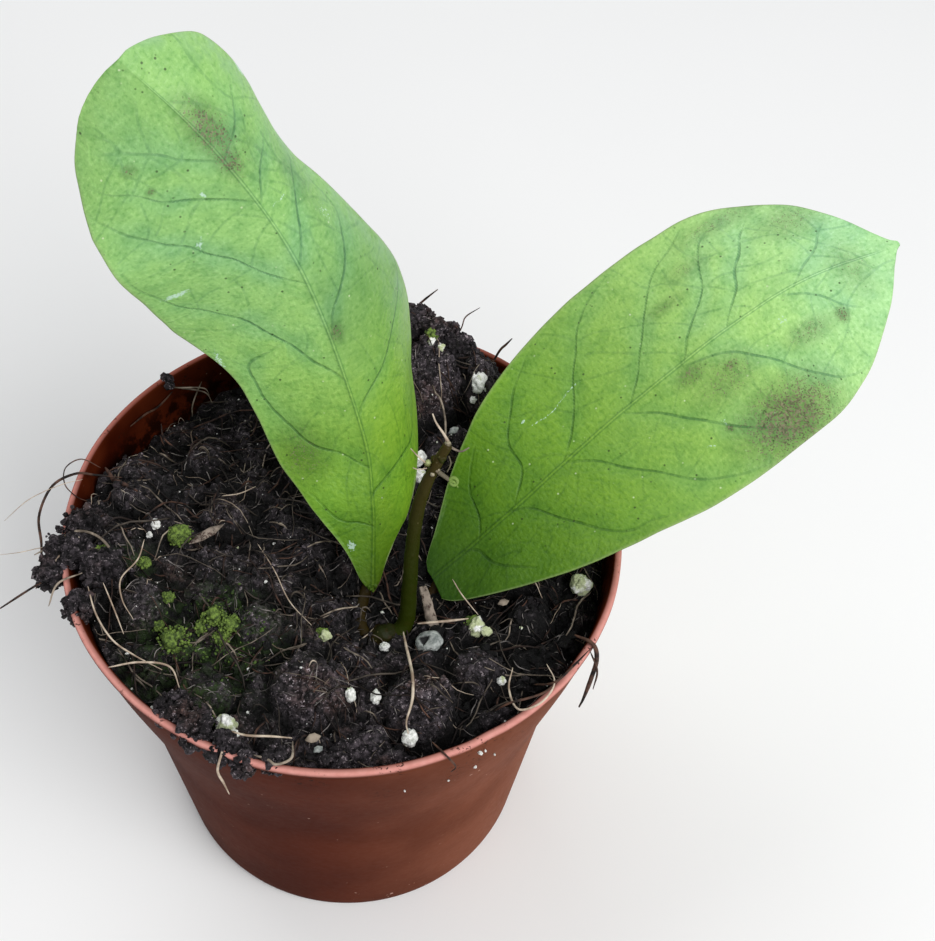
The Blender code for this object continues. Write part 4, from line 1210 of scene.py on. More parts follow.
# %% Veins
# Paths (u, v): main side veins of each leaf, from the midrib outwards
VEINS = {
    "leaf_left": (
        ((0.8, 0), (0.84, -0.21), (0.88, -0.36), (0.93, -0.76)),
        ((0.72, 0), (0.77, -0.24), (0.8, -0.44), (0.84, -0.62), (0.9, -0.9)),
        ((0.56, 0), (0.63, -0.29), (0.71, -0.49), (0.77, -0.7), (0.86, -0.96)),
        (
            (0.37, 0), (0.43, -0.24), (0.48, -0.39), (0.53, -0.5), (0.57, -0.7), (0.62, -0.88),
            (0.74, -0.96),
        ),
        ((0.21, 0), (0.23, -0.26), (0.27, -0.56), (0.34, -0.81), (0.43, -0.84), (0.47, -0.42)),
        ((0.1, 0), (0.11, -0.29), (0.12, -0.66), (0.17, -0.85)),
        ((0.28, 0), (0.31, 0.05), (0.36, 0.38), (0.41, 0.65), (0.45, 0.91), (0.49, 1)),
        ((0.46, 0), (0.49, 0.09), (0.53, 0.33), (0.58, 0.6), (0.61, 0.8), (0.66, 0.84)),
        ((0.59, 0), (0.64, 0.25), (0.68, 0.44), (0.71, 0.78)),
        ((0.72, 0), (0.75, 0.25), (0.77, 0.55)),
        ((0.8, 0), (0.83, 0.33), (0.86, 0.68)),
        ((0.15, 0), (0.17, 0.1), (0.2, 0.39), (0.22, 0.68), (0.28, 0.86)),
    ),
    "leaf_right": (
        ((0.09, 0), (0.12, -0.3), (0.14, -0.65), (0.19, -0.82)),
        ((0.18, 0), (0.22, -0.22), (0.26, -0.6), (0.33, -0.86), (0.4, -0.93)),
        ((0.29, 0), (0.35, -0.2), (0.4, -0.5), (0.48, -0.84), (0.56, -0.96)),
        ((0.44, 0), (0.5, -0.2), (0.56, -0.47), (0.62, -0.73), (0.7, -0.9)),
        ((0.56, 0), (0.65, -0.32), (0.71, -0.71), (0.76, -0.84)),
        ((0.66, 0), (0.74, -0.4), (0.8, -0.81)),
        ((0.79, 0), (0.86, -0.3), (0.91, -0.8)),
        ((0.06, 0), (0.08, 0.14), (0.1, 0.55), (0.14, 0.8)),
        ((0.16, 0), (0.2, 0.16), (0.24, 0.54), (0.29, 0.82), (0.38, 0.94)),
        ((0.3, 0), (0.36, 0.34), (0.41, 0.59), (0.48, 0.84), (0.56, 0.94)),
        ((0.43, 0), (0.49, 0.29), (0.56, 0.59), (0.64, 0.9), (0.7, 0.95)),
        ((0.54, 0), (0.63, 0.16), (0.68, 0.39), (0.77, 0.8), (0.84, 0.95)),
        ((0.77, 0), (0.83, 0.24), (0.88, 0.55)),
    ),
}
# Paths (u, v) of pale scratches
SCRATCHES = {
    "leaf_left": (((0.7, 0.1), (0.695, 0.3)), ((0.7, -0.46), (0.72, -0.42))),
    "leaf_right": (
        ((0.295, -0.46), (0.335, -0.43), (0.365, -0.43), (0.41, -0.44)), ((0.5, 0.6), (0.51, 0.63)),
    ),
}
# How strong a vein is at shares of its length
VEIN_SHARES = (0, 0.12, 0.35, 0.8, 1)
VEIN_LEVELS = (0.4, 0.75, 1, 0.75, 0.3)
print("side veins:", {name: len(paths) for name, paths in VEINS.items()})


# %% Distance to the veins
def nearest_line(x, y, paths):
    """(distance, strength) of the nearest path for each place (x, y), in mm.

    The foot of the upright on a straight piece a to b is a + t (b - a), with
    t = (p - a) . (b - a) / |b - a|^2 kept from 0 to 1. A vein is faint where it starts, strongest
    a third of the way out, and fades away at its end.
    """
    best = np.full(x.shape, 1e6)
    strength = np.zeros(x.shape)
    for path in paths:
        levels = np.interp(np.linspace(0, 1, len(path) - 1), VEIN_SHARES, VEIN_LEVELS)
        for (ax, ay), (bx, by), level in zip(path, path[1:], levels):
            dx, dy = bx - ax, by - ay
            t = np.clip(((x - ax) * dx + (y - ay) * dy) / (dx * dx + dy * dy + 1e-9), 0, 1)
            far = (x - ax - t * dx) ** 2 + (y - ay - t * dy) ** 2
            strength = np.where(far < best, level, strength)
            best = np.minimum(best, far)
    return np.sqrt(best), strength


def flat_paths(paths, u, across, length, count):
    """(u, v) paths in millimetres on the flattened blade, smoothed to count points."""
    left, right = -across[:, 0], across[:, -1]
    made = []
    for path in paths:
        pu, pv = smooth_through([(a, b, 0) for a, b in path], np.linspace(0, 1, count))[:, :2].T
        wide = np.where(pv < 0, np.interp(pu, u, left), np.interp(pu, u, right))
        made.append(np.stack([pv * wide, pu * length], 1))
    return made


def side_twigs(paths, seed):
    """Short thin veins that leave the main ones to both sides, each in a slight bend."""
    chance = np.random.default_rng(seed)
    twigs = []
    for path in paths:
        for share in (0.28, 0.5, 0.72):
            i = int(share * (len(path) - 1))
            ahead = path[i + 1] - path[i]
            ahead = ahead / np.linalg.norm(ahead)
            for side in (-1, 1):
                turn = side * math.radians(chance.uniform(50, 82))
                way = np.array([
                    ahead[0] * math.cos(turn) - ahead[1] * math.sin(turn),
                    ahead[0] * math.sin(turn) + ahead[1] * math.cos(turn),
                ])
                l = np.linspace(0, chance.uniform(6, 15), 8)[:, None]
                bend = np.array([-way[1], way[0]]) * chance.uniform(-0.04, 0.04)
                twigs.append(path[i] + way * l + bend * l**2)
    return twigs


# %% [markdown]
# The blade's finish reads what the mesh keeps for each point: the share of the way to the tip,
# how near a vein is, and which side it is on. The leaf is a deep green at its base and paler
# towards the tip, and the dark base is partly painted shade. Its skin is finely pebbled and
# satin, with tiny pale dots.

# %% Leaf finish
def leaf_finish(name, greens):
    """A blade's skin. The greens are colours at shares of the way from stalk to tip, darkest at the base,
    partly as painted shade.
    """
    leaf = Finish(name, Specular_IOR_Level=0.3)
    stops = [(place, rgb(*colour)) for place, colour in greens]
    u = leaf.stored("along")
    along = leaf.node("ShaderNodeValToRGB", {"stops": stops}, {0: u})
    flat = leaf.node("ShaderNodeUVMap", {"uv_map": "flat"})
    cloud = leaf.noise(17, 3, 0.55, flat)
    mottle = leaf.noise(4.5, 4, 0.6, flat)
    pebbles = leaf.noise(0.9, 2, 0.5, flat)

    def tinted(share, tint):
        return leaf.mix(share, green, (*tint, 1.0), "MULTIPLY")

    # Yellower between the veins, bluer beside them, mottled and finely pebbled
    near = leaf.stored("near") * 0.6 + leaf.step(cloud, 0.35, 0.65) * 0.5
    green = leaf.graded(near, 0.15, 1.0, (1.05, 1.02, 0.85, 1), (0.94, 0.97, 1.02, 1))
    green = leaf.mix(1.0, along, green, "MULTIPLY")
    green = tinted(leaf.step(mottle, 0.42, 0.72), (0.74, 0.82, 0.8))
    green = tinted(leaf.step(pebbles, 0.52, 0.7), (1.2, 1.13, 1.25))
    green = tinted(leaf.step(pebbles, 0.48, 0.3), (0.76, 0.84, 0.76))
    green = tinted(leaf.stored("warm"), (1.1, 1.04, 0.84))
    # Painted shade where the folded half turns away from the light, then a painted sheen beside it.
    green = tinted(leaf.stored("fold"), (0.66, 0.7, 0.74))
    green = leaf.mix(leaf.stored("sheen") * leaf.step(mottle, 0.3, 0.7), green, rgb(186, 222, 180))

    # Veins: the stored bell is cut near its top, which leaves a fine line
    ragged = leaf.step(leaf.noise(2.2, 3, 0.6, flat), 0.25, 0.6)
    vein = leaf.step(leaf.stored("vein"), 0.82, 0.99) * leaf.stored("strength")
    vein = vein * (0.4 + 0.6 * ragged)
    twig = leaf.step(leaf.stored("twig"), 0.78, 0.98) * ragged * 0.42
    green = tinted(leaf.math("MAXIMUM", vein, twig), (0.4, 0.52, 0.56))
    green = tinted(leaf.stored("near") * 0.3, (0.72, 0.82, 0.78))

    # The midrib: a pale ridge between two lines of painted shade, narrower and fainter towards the tip
    across = leaf.math("ABSOLUTE", leaf.axis(0, flat) * 1000)
    slim = 1 - 0.5 * u
    fade = leaf.step(u, 0.985, 0.93)
    centre = leaf.step(across / slim, 0.34, 0.12)
    rib_shade_lines = (leaf.step(across / slim, 0.85, 0.4) - centre) * fade
    green = tinted(rib_shade_lines * 0.6, (0.36, 0.5, 0.52))
    green = tinted(centre * fade, (1.1, 1.05, 1.15))

    # Pale dots, dark specks, soil dust and lime splashes
    dots = leaf.step(leaf.cells(1000 / 300, place=flat), 0.09, 0.03)
    dots = dots * leaf.step(leaf.noise(12, 2, 0.5, flat), 0.42, 0.56)
    green = leaf.mix(dots * 0.6, green, rgb(226, 238, 196))
    specks = leaf.step(leaf.cells(1000 / 430, place=flat), 0.14, 0.07)
    specks = specks * leaf.step(leaf.noise(8, 3, 0.6, flat), 0.48, 0.55)
    green = leaf.mix(specks * 0.75, green, rgb(38, 48, 22))
    green = leaf.mix(leaf.stored("edge") * 0.45, green, rgb(160, 178, 120))
    grit = leaf.noise(0.5, 2, 0.7, flat)
    green = tinted(leaf.stored("dirt") * 0.85, (0.45, 0.47, 0.45))
    grains = leaf.cells(0.4, place=flat) + 0.5 * leaf.noise(1.6, 2, 0.5, flat)
    dirt = leaf.step(grains - leaf.stored("dirt") * 0.5, 0.26, 0.14)
    dust = leaf.mix(leaf.cells(0.5, output=1, place=flat), rgb(50, 44, 32), rgb(146, 132, 108))
    green = leaf.mix(dirt * 0.8, green, dust)
    lime = leaf.step(grit + leaf.stored("lime") * 0.5, 0.8, 0.92)
    green = leaf.mix(lime * 0.65, green, rgb(210, 238, 226))

    back = leaf.mix(0.5, along, rgb(140, 164, 96))
    back = leaf.mix(leaf.step(across / slim, 2.4, 1.2) * 0.4, back, rgb(176, 190, 130))
    leaf.feed("Base Color", leaf.mix(leaf.stored("under"), green, back))
    leaf.feed("Roughness", 0.4 + 0.3 * lime + 0.1 * mottle)
    leaf.bump(pebbles * 0.6 + mottle * 0.35 - vein * 0.5, 0.36)
    return leaf


# Greens from stalk to tip: the dark at the base is partly painted shade.
LEFT_GREENS = (
    (0, (76, 104, 30)), (0.06, (92, 134, 38)), (0.15, (116, 164, 54)), (0.25, (120, 166, 64)),
    (0.4, (144, 192, 104)), (0.6, (144, 194, 122)), (0.9, (142, 192, 118)),
)
RIGHT_GREENS = (
    (0, (44, 76, 12)), (0.15, (82, 122, 26)), (0.32, (112, 156, 52)),
    (0.5, (135, 180, 88)), (0.7, (164, 213, 130)), (0.95, (172, 225, 168)),
)
LEAF_FINISHES = {
    "leaf_left": leaf_finish("left_leaf_skin", LEFT_GREENS),
    "leaf_right": leaf_finish("right_leaf_skin", RIGHT_GREENS),
}

# %% Dust and lime on the blades
# Oval marks on the upper face: u, v, radius along, radius across, level
DIRT = {
    "leaf_left": (
        (0.85, 0.1, 8, 4.2, 1.0), (0.8, 0.05, 5, 3, 1.0), (0.8, 0.2, 9, 6, 0.4),
        (0.46, 0.06, 2.5, 1.8, 0.9), (0.88, -0.55, 1.6, 1.6, 0.8), (0.83, -0.5, 1, 1, 1.0),
        # The last mark of the left leaf only makes its lower left half darker.
        (0.7, 0.6, 10, 4, 0.35), (0.25, -0.72, 9, 6, 0.7),
    ),
    "leaf_right": (
        (0.6, 0.3, 9, 6, 0.7), (0.62, 0.24, 3, 2, 1.0), (0.645, 0.8, 14, 9, 1.3),
        (0.63, 0.82, 5, 4, 1.3), (0.56, 0.12, 5, 3, 0.8), (0.77, 0.39, 7, 3, 0.7),
        (0.84, 0.45, 2, 2, 1.1), (0.86, -0.75, 8, 5, 0.65), (0.76, -0.86, 12, 3, 0.6),
        (0.9, 0.1, 5, 8, 0.5), (0.6, -0.45, 6, 2, 0.6), (0.67, -0.6, 6, 3, 0.5),
        (0.55, 0.6, 1.2, 1.2, 1.2),
    ),
}
LIME = {
    "leaf_left": (
        (0.63, -0.79, 1.0, 4.2, 1.0), (0.46, -0.97, 4.5, 1.1, 0.8), (0.07, -0.7, 1.4, 1.2, 1.0),
        (0.78, -0.24, 1.2, 0.6, 1.0), (0.71, -0.45, 0.7, 1.1, 1.0), (0.62, 0.6, 4, 2, 0.55),
        (0.85, 0.97, 1.6, 0.9, 1.5),
    ),
    "leaf_right": (
        (0.29, -0.55, 0.9, 0.4, 1.1), (0.55, 0.55, 1, 2.4, 0.6), (0.74, 0.2, 2, 2, 0.6),
    ),
}


def splash(marks, x, y, u, left, right, length):
    """The highest level * (1.3 - d) over oval marks; d^2 is the sum of squared radius shares."""
    best = np.zeros(x.shape)
    for mark_u, mark_v, long, wide, level in marks:
        edge = np.interp(mark_u, u, left if mark_v < 0 else right)
        d = np.hypot((x - mark_v * edge) / wide, (y - mark_u * length) / long)
        best = np.maximum(best, level * np.clip(1.3 - d, 0, 1))
    return best


# %% Marks kept by each point of a blade
def near_lines(name, flat, u, across, length):
    """(to_vein, strength, to_twig, to_scratch): distances in mm, and the nearest vein's strength.

    The places are first shifted by up to 0.7 mm of noise, so that no vein runs quite straight.
    """
    x, y = flat[..., 0], flat[..., 1]
    main = flat_paths(VEINS[name], u, across, length, 26)
    twigs = side_twigs(main, LEAVES[name]["twig_seed"])
    wavy_x = x + 0.7 * value_noise(flat, 6, 51)
    wavy_y = y + 0.7 * value_noise(flat, 6, 52)
    to_vein, strength = nearest_line(wavy_x, wavy_y, main)
    to_twig, _ = nearest_line(wavy_x, wavy_y, twigs)
    strength *= 1 - 0.6 * np.clip((u[:, None] - 0.75) / 0.2, 0, 1)
    to_scratch, _ = nearest_line(wavy_x, y, flat_paths(SCRATCHES[name], u, across, length, 12))
    return to_vein, strength, to_twig, to_scratch


def upper_marks(name, flat, far, share, length, lines):
    """What the finish reads on the upper face, where share is |s| over the half width.

    The folded half of the left leaf is warm at its base, with painted shade across it where it turns away
    from the light and a painted sheen beside that.
    """
    x, y = flat[..., 0], flat[..., 1]
    to_vein, strength, to_twig, to_scratch = lines
    folded = name == "leaf_left"
    right_half = np.clip(x / 3 + 0.5, 0, 1) * folded
    strip = np.clip((share - 0.88) / 0.04, 0, 1) * (x > 0) * np.clip(2 - 10 * far, 0, 1) * folded
    sheen = 0.4 * np.clip(share * 2 - 1, 0, 1) * (x > 0) * folded
    scratch = 0.75 * hump(to_scratch, 0.32)
    sides = (far[:, 0], -x[:, 0], x[:, -1], length)
    return {
        "vein": hump(to_vein, 0.9),
        "strength": strength,
        "twig": hump(to_twig, 0.8),
        "near": hump(to_vein, 3.2) * strength,
        "warm": right_half * np.clip(2.4 - 5 * far, 0, 1),
        "fold": right_half * hump(far - 0.48, 0.14),
        "sheen": sheen * np.clip(far * 5 - 1, 0, 1),
        "edge": np.maximum(np.clip((share - 0.97) / 0.03, 0, 1), 1.7 * strip),
        "dirt": splash(DIRT[name], x, y, *sides),
        "lime": np.maximum(splash(LIME[name], x, y, *sides), scratch),
    }


# %% Blades
LEAF_ROWS = 344
LEAF_HALF = 80


def both(above, below):
    """Columns over the upper face and back along the lower one, which keeps every second one."""
    return np.concatenate([above, below[:, ::-2]], 1)


def make_blade(name):
    """Upper face: grid + relief * normal. Lower face: upper - thickness - rib bulge.

    The relief is quilting between the veins, less the groove of each vein, plus the ridge of the
    midrib, plus pebbling.
    """
    grid, u, across = blade_surface(LEAVES[name], LEAF_ROWS, LEAF_HALF)
    length = np.linalg.norm(np.diff(grid[:, LEAF_HALF], axis=0), axis=1).sum()
    normal = np.cross(np.gradient(grid, axis=1), np.gradient(grid, axis=0))
    normal /= np.linalg.norm(normal, axis=2, keepdims=True) + 1e-12
    x, far = across, u[:, None]
    flat = np.stack([x, far * length + 0 * x], -1)
    lines = near_lines(name, flat, u, across, length)
    to_vein, strength = lines[:2]
    share = np.abs(x) / np.maximum(np.where(x < 0, -x[:, :1], x[:, -1:]), 0.01)
    hold = np.clip((1 - share) / 0.1, 0, 1) * np.clip((1 - far) / 0.05, 0, 1)
    ridge = hump(x, 0.8 - 0.3 * far)
    relief = 0.12 * ridge * (1 - 0.8 * far) - 0.08 * hump(x, 2.6)
    relief -= 0.16 * strength * hump(to_vein, 2.0)
    relief += 0.04 * value_noise(flat, 1.8, 53) + 0.3 * value_noise(flat, 11, 54)
    wave = 0.3 * value_noise(flat, 6, 55) * share**4
    upper = grid + (relief * hold + wave)[..., None] * normal
    bulge = (1.35 * (1 - far) ** 1.3 + 0.15) * hump(x, 1.7 - far)
    bulge = (bulge + 0.2 * strength * hump(to_vein, 0.9)) * (hold * np.clip(far / 0.05, 0.1, 1))
    body = np.sqrt(1 - share**10) * np.clip((1 - far) / 0.03, 0, 1) ** 0.5
    thick = 0.22 + (LEAF_THICKNESS - 0.22) * body + bulge
    lower = grid + (wave - thick)[..., None] * normal
    middle = (upper[0] + lower[0]) / 2
    upper[0], lower[0] = (middle + 0.05 * (face[0] - middle) for face in (upper, lower))
    loop = both(upper, lower)
    loop[-1] = loop[-1].mean(0) + 0.02 * (loop[-1] - loop[-1].mean(0))
    piece = skin(name + "_blade", loop, LEAF_FINISHES[name])
    print(name, "is", round(length, 1), "mm long and up to", round(np.ptp(x, 1).max(), 1), "mm wide")

    none = np.zeros(x.shape)
    for mark, value in upper_marks(name, flat, far, share, length, lines).items():
        paint_points(piece, mark, both(value, none))
    paint_points(piece, "along", both(far + none, far + none))
    paint_points(piece, "under", both(none, none + np.clip(far * 20 - 1, 0, 1)))
    layer = piece.data.uv_layers.new(name="flat")
    corner = np.empty(len(piece.data.loops), int)
    piece.data.loops.foreach_get("vertex_index", corner)
    spots = both(flat, flat * (1, -1)).reshape(-1, 2)[corner] * MM
    layer.data.foreach_set("uv", spots.ravel())
    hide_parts(name)


for name in LEAVES:
    make_blade(name)

# %% [markdown]
# ## Stalks, node and shoot
#
# The two leaf stalks and the shoot rise from one old node that sits half in the peat. They are
# brown-olive, a little rough, and greener towards the blades. Each is a circle carried along the
# same path as its solid.

# %% Stem finish
def stem_finish(name, low, high, blotch):
    """Bark that goes from low at the stalk's start to high at its end, with corky blotches."""
    stem = Finish(name, Roughness=0.5, Specular_IOR_Level=0.12)
    base = stem.graded(stem.stored("along"), 0.3, 1.0, low, high)
    streak = stem.noise(2.0, 4, 0.65)
    base = stem.mix(stem.step(streak, 0.5, 0.75) * 0.5, base, blotch)
    warts = stem.step(stem.cells(1.3), 0.22, 0.1) * stem.step(stem.noise(5), 0.5, 0.62)
    base = stem.mix(warts * 0.35, base, rgb(128, 118, 84))
    stem.feed("Base Color", base)
    stem.bump(streak + warts * 0.4, 0.25)
    return stem


shoot_skin = stem_finish("shoot_skin", rgb(42, 50, 8), rgb(58, 50, 22), rgb(50, 48, 16))
petiole_skin = stem_finish("petiole_skin", rgb(46, 38, 16), rgb(50, 46, 24), rgb(46, 28, 18))
dark_petiole = stem_finish("dark_petiole_skin", rgb(54, 40, 20), rgb(36, 40, 16), rgb(66, 32, 16))
green_bud = stem_finish("green_bud_skin", rgb(84, 84, 44), rgb(164, 172, 120), rgb(86, 74, 50))
green_tip = stem_finish("green_tip_skin", rgb(120, 146, 74), rgb(178, 204, 138), rgb(132, 150, 96))
root_grey = stem_finish("side_root_skin", rgb(104, 98, 82), rgb(168, 162, 146), rgb(78, 70, 58))
tan_bud = stem_finish("tan_bud_skin", rgb(48, 36, 22), rgb(172, 162, 138), rgb(66, 50, 34))

# %% Rough stalks
STALK_SIDES = 20


def rough_stalk(name, points, radii, finish, count=110):
    """A stalk whose circle is pushed in and out: centre + (edge - centre) * (1 + 0.06 * noise)."""
    grid = stalk(points, radii, count, STALK_SIDES)
    centre = grid.mean(2, keepdims=True)
    push = value_noise(grid, 2.2, 61) + 0.6 * value_noise(grid, 0.9, 62)
    piece = skin(name, centre + (grid - centre) * (1 + 0.06 * push[..., None]), finish)
    paint_points(piece, "along", np.repeat(np.linspace(0, 1, count), STALK_SIDES))
    return piece


# %% Shoot, node and buds
SHOOT = (
    (10.5, -21.5, 93.0), (13.2, -20.8, 93.6), (14.9, -19.0, 96.5), (15.2, -16.4, 104),
    (15.3, -13.0, 113), (15.8, -10.2, 121), (17.2, -8.0, 128.5), (19.3, -6.2, 134.0),
    (21.2, -4.6, 138.0),
)
SHOOT_RADII = (2.1, 1.8, 1.65, 1.55, 1.45, 1.4, 1.35, 1.1, 0.95)
OLD_STEM = ((10.5, -21.5, 94.6), (10.0, -20.8, 86), (8.8, -19, 74), (7.5, -17, 60))
shoot = rough_stalk("shoot", SHOOT, SHOOT_RADII, shoot_skin)
old = rough_stalk("old_stem", OLD_STEM, (2.5, 2.5), petiole_skin, 40)


def round_lump(name, place, radius, finish, rough):
    """One knobbly lump, whose finish runs from its foot to its top."""
    piece = knobbly(name, [place], [radius], finish, rough)
    height = np.empty(len(piece.data.vertices) * 3)
    piece.data.vertices.foreach_get("co", height)
    height = height[2::3] / MM - place[2]
    paint_points(piece, "along", np.clip(0.5 + 0.5 * height / radius, 0, 1))
    return piece


# Buds and scales on the shoot's head: finish, radius, roughness, place
BUDS = {
    "head_knob": (tan_bud, 0.8, 0.3, (21.1, -4.4, 138.0)),
    "green_bud": (green_bud, 0.75, 0.3, (17.5, -6.6, 134.4)),
    "side_bud": (tan_bud, 0.75, 0.3, (19.4, -7.1, 133.0)),
    "wart": (tan_bud, 0.5, 0.3, (18.6, -8.0, 132.6)),
    "scale_leaf": (shoot_skin, 1.0, 0.25, (20.3, -6.0, 135.8)),
    "small_scale": (shoot_skin, 0.9, 0.25, (18.9, -5.6, 134.6)),
}
heart = round_lump("node", (10.5, -21.5, 93.2), 3.1, dark_petiole, 0.16)
for name, (finish, radius, rough, place) in BUDS.items():
    round_lump(name, place, radius, finish, rough)
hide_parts("stem")

# %% Fine parts of the head
# Finish, rings, sides, radii, path
FINE_PARTS = {
    "side_root": (root_grey, 40, 10, (0.55, 0.5, 0.45, 0.4), (
        (19.0, -6.6, 133.2), (19.6, -7.1, 132.7), (21.0, -7.6, 131.9), (22.1, -8.0, 131.3),
    )),
    "curled_tip": (green_tip, 60, 8, (0.4, 0.36, 0.36, 0.3, 0.12), (
        (22.0, -8.0, 131.4), (22.6, -7.8, 132.0), (23.5, -8.1, 131.7), (23.4, -8.5, 130.9),
        (22.7, -8.7, 130.8), (22.1, -8.3, 131.2), (22.9, -8.4, 131.4), (23.8, -8.6, 130.0),
    )),
    "thin_arc": (root_grey, 20, 7, (0.12, 0.16, 0.12), (
        (21.5, -5.0, 135.2), (22.0, -5.7, 133.7), (21.4, -6.8, 132.3),
    )),
    "head_root_0": (pale, 24, 7, (0.34, 0.22, 0.14), (
        (21.2, -4.2, 138.6), (20.2, -3.6, 140.2), (18.6, -2.6, 142.2), (17.8, -1.6, 143.6),
    )),
    "head_root_1": (pale, 24, 7, (0.2, 0.16, 0.1), (
        (17.2, -6.8, 134.6), (15.6, -6.4, 136.0), (14.0, -5.8, 137.6),
    )),
    "head_root_2": (pale, 24, 7, (0.14, 0.12, 0.1), (
        (17.4, -7.2, 133.6), (15.8, -7.4, 133.2), (14.6, -7.2, 133.4),
    )),
    "head_root_3": (tan, 24, 7, (0.3, 0.22, 0.12), (
        (21.8, -4.6, 137.4), (23.8, -4.6, 136.4), (25.4, -3.8, 136.8),
    )),
}
for name, (finish, rings, sides, radii, points) in FINE_PARTS.items():
    skin(name, stalk(points, radii, rings, sides), finish)

# %% Leaf stalks
# Each stalk runs on below its blade: u and depth under the upper face, in mm
RUN_ON = ((0, 2.3), (0.035, 2.3), (0.07, 2.1), (0.12, 1.8))
STALK_RADII = (1.45, 1.35, 1.25, 1.15, 1.0, 0.7, 0.35)
STALK_FINISHES = {"leaf_left": petiole_skin, "leaf_right": dark_petiole}
places, depths = np.array(RUN_ON).T
for name, leaf in LEAVES.items():
    facing = np.array(leaf["facing"][0])
    below = smooth_through(leaf["midrib"], places) - depths[:, None] * facing
    run_out = np.vstack([leaf["petiole"], below])
    piece = rough_stalk(name + "_stalk", run_out, STALK_RADII, STALK_FINISHES[name])

# %% [markdown]
# ## Bark splinter, flakes and clay pebble
#
# Beside the node lie a tan splinter of bark, flat and rough, and a worn grey pebble of fired clay
# with a wedge-shaped notch in it. A few dry flakes lie about as well.

# %% Bark and clay finishes
bark_skin = Finish("bark_tan", Roughness=0.8)
grain_along = bark_skin.noise(3, 4, 0.7)
bark_colour = bark_skin.graded(grain_along, 0.3, 0.62, rgb(78, 68, 60), rgb(146, 132, 120))
pits = bark_skin.step(bark_skin.noise(1.6, 3, 0.7), 0.56, 0.64)
bark_skin.feed("Base Color", bark_skin.mix(pits * 0.8, bark_colour, rgb(70, 44, 36)))
bark_skin.bump(grain_along - pits, 0.3)

clay = Finish("clay_grey", Roughness=0.75)
clay_speck = clay.noise(1.2, 4, 0.65)
stone = clay.graded(clay_speck, 0.3, 0.7, rgb(104, 110, 108), rgb(176, 180, 176))
# Painted shade: the wedge-shaped notch is nearly black.
clay.feed("Base Color", clay.mix(clay.stored("hollow"), stone, rgb(14, 16, 17)))
clay.bump(clay_speck, 0.25)

# %% Bark splinter
BARK_START, BARK_END = np.array((17.7, -11.8, 98.6)), np.array((21.4, -21.2, 95.6))
BARK_HALF_WIDTH, BARK_HALF_DEPTH = 1.2, 0.5
BARK_RINGS, BARK_SIDES = 60, 28
place = np.linspace(0, 1, BARK_RINGS)
length = np.linalg.norm(BARK_END - BARK_START)
forward = (BARK_END - BARK_START) / length
aside = np.cross((0, 0, 1), forward)
aside /= np.linalg.norm(aside)
outward = np.cross(forward, aside)
round_way = np.arange(BARK_SIDES) * math.tau / BARK_SIDES
# A squared-off oval: sign(cos) |cos|^0.45 across and the same with sin through the splinter
oval = [np.sign(wave) * np.abs(wave) ** 0.45 for wave in (np.cos(round_way), np.sin(round_way))]
taper = (1 - 0.35 * (1 - place) ** 2)[:, None]
line = BARK_START + (BARK_END - BARK_START) * place[:, None] + 0.1 * np.sin(7 * place)[:, None] * aside
bark_grid = (
    line[:, None]
    + (oval[0] * BARK_HALF_WIDTH * taper)[..., None] * aside
    + (oval[1] * BARK_HALF_DEPTH + 0 * taper)[..., None] * outward
)
bark_grid += 0.16 * value_noise(bark_grid * (1, 0.5, 1), 1.0, 63)[..., None] * outward
bark_grid += 0.12 * value_noise(bark_grid, 0.7, 64)[..., None] * aside
bark = skin("bark_splinter", bark_grid, bark_skin)
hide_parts("bark_chip")

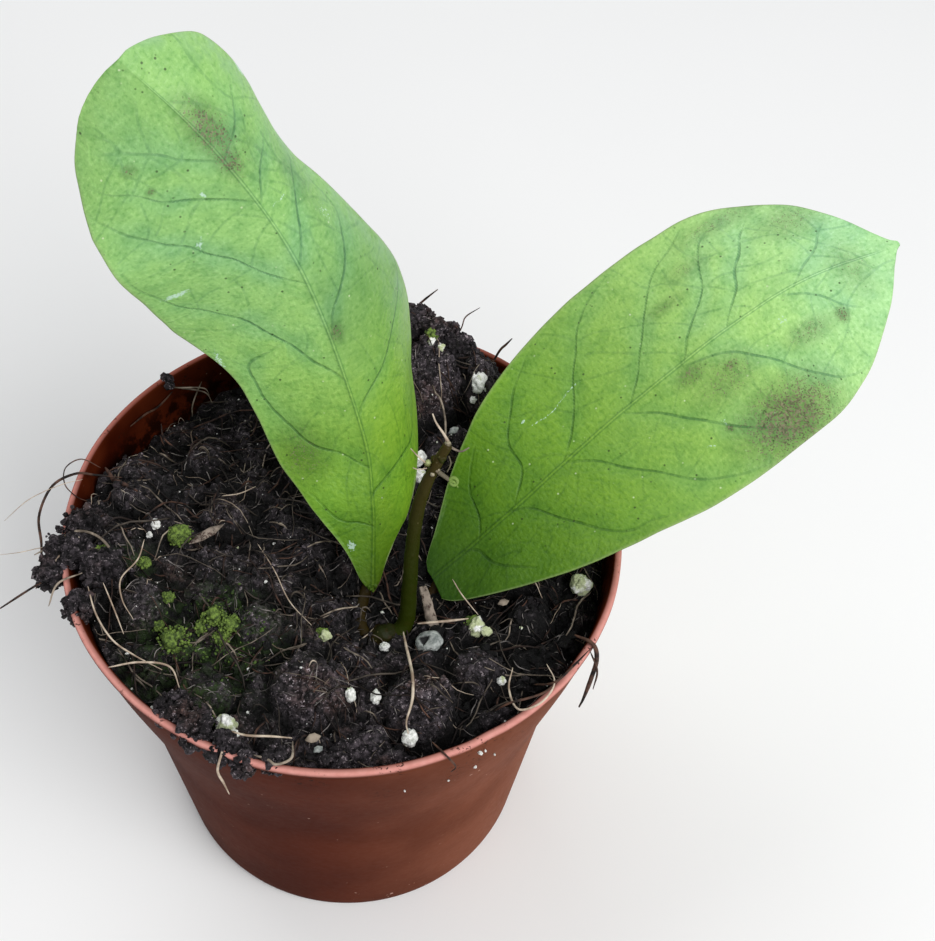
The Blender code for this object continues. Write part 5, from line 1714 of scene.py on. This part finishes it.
# %% Dry flakes
# Flat chips of old wood: ends, half width, finish
FLAKES = (
    ((-32.6, -8.4), (-26.1, -2.5), 1.1, bark_skin), ((-2.4, -50.4), (0.6, -49.2), 1.0, tan),
    ((-0.4, -52.6), (1.2, -51.2), 0.8, clay), ((20.6, 25.4), (22.6, 27.2), 0.9, clay),
    ((13.0, 19.6), (15.0, 21.4), 0.8, tan), ((34.0, -14.6), (36.4, -13.4), 0.8, tan),
)
for i, (start, end, half_width, finish) in enumerate(FLAKES):
    flake_x, flake_y = np.linspace(start, end, 4).T
    flake_z = broad_height(flake_x, flake_y).max() + 1.3 + np.array((0, 0.15, 0.1, -0.1))
    grid = stalk(np.stack([flake_x, flake_y, flake_z], 1), (0.1, half_width, half_width, 0.1), 30, 12)
    grid[..., 2] = flake_z.mean() + 0.35 * (grid[..., 2] - flake_z.mean())
    skin(f"flake_{i}", grid + 0.12 * value_noise(grid, 0.9, 68)[..., None], finish)

# %% Clay pebble
PEBBLE_PLACE = (20.2, -24.4, 96.9)
points, faces = ball(5)
px, py, pz = points.T
dish = 0.35 * hump(np.hypot(px, py), 0.5) * (pz > 0)
# A wedge-shaped notch left of the middle, wide at the back and pointed at the front
notch_width = 0.03 + 0.34 * np.clip((py + 0.38) / 0.6, 0, 1)
notch = np.exp(-(((px + 0.26) / notch_width) ** 4)) * (pz > 0) * (py > -0.45) * (py < 0.4)
dish += 0.35 * notch
push = 1 + 0.1 * value_noise(points * 3, 1.7, 65) + 0.06 * value_noise(points * 3, 0.6, 66)
shaped = np.stack([px * 2.9 * push, py * 2.47 * push, (pz - dish) * 2.0], 1)
tilt = Matrix.Rotation(math.radians(-20), 3, "Y") @ Matrix.Rotation(math.radians(14), 3, "X")
shaped = shaped @ np.array(tilt).T + PEBBLE_PLACE
pebble = add_mesh("clay_pebble_stone", shaped, faces.tolist(), clay)
# Painted shade in the notch.
paint_points(pebble, "hollow", np.clip(1.8 * notch, 0, 1))
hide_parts("clay_pebble")

# %% [markdown]
# ## Size
#
# The two boxes, of the solids and of the dressed part, are kept and printed, so that the dressed
# part can be held against the solids.

# %% Size
size = {"cad": [list(corner) for corner in cad_box], "visual": [list(corner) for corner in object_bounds()]}
print("size:", size)
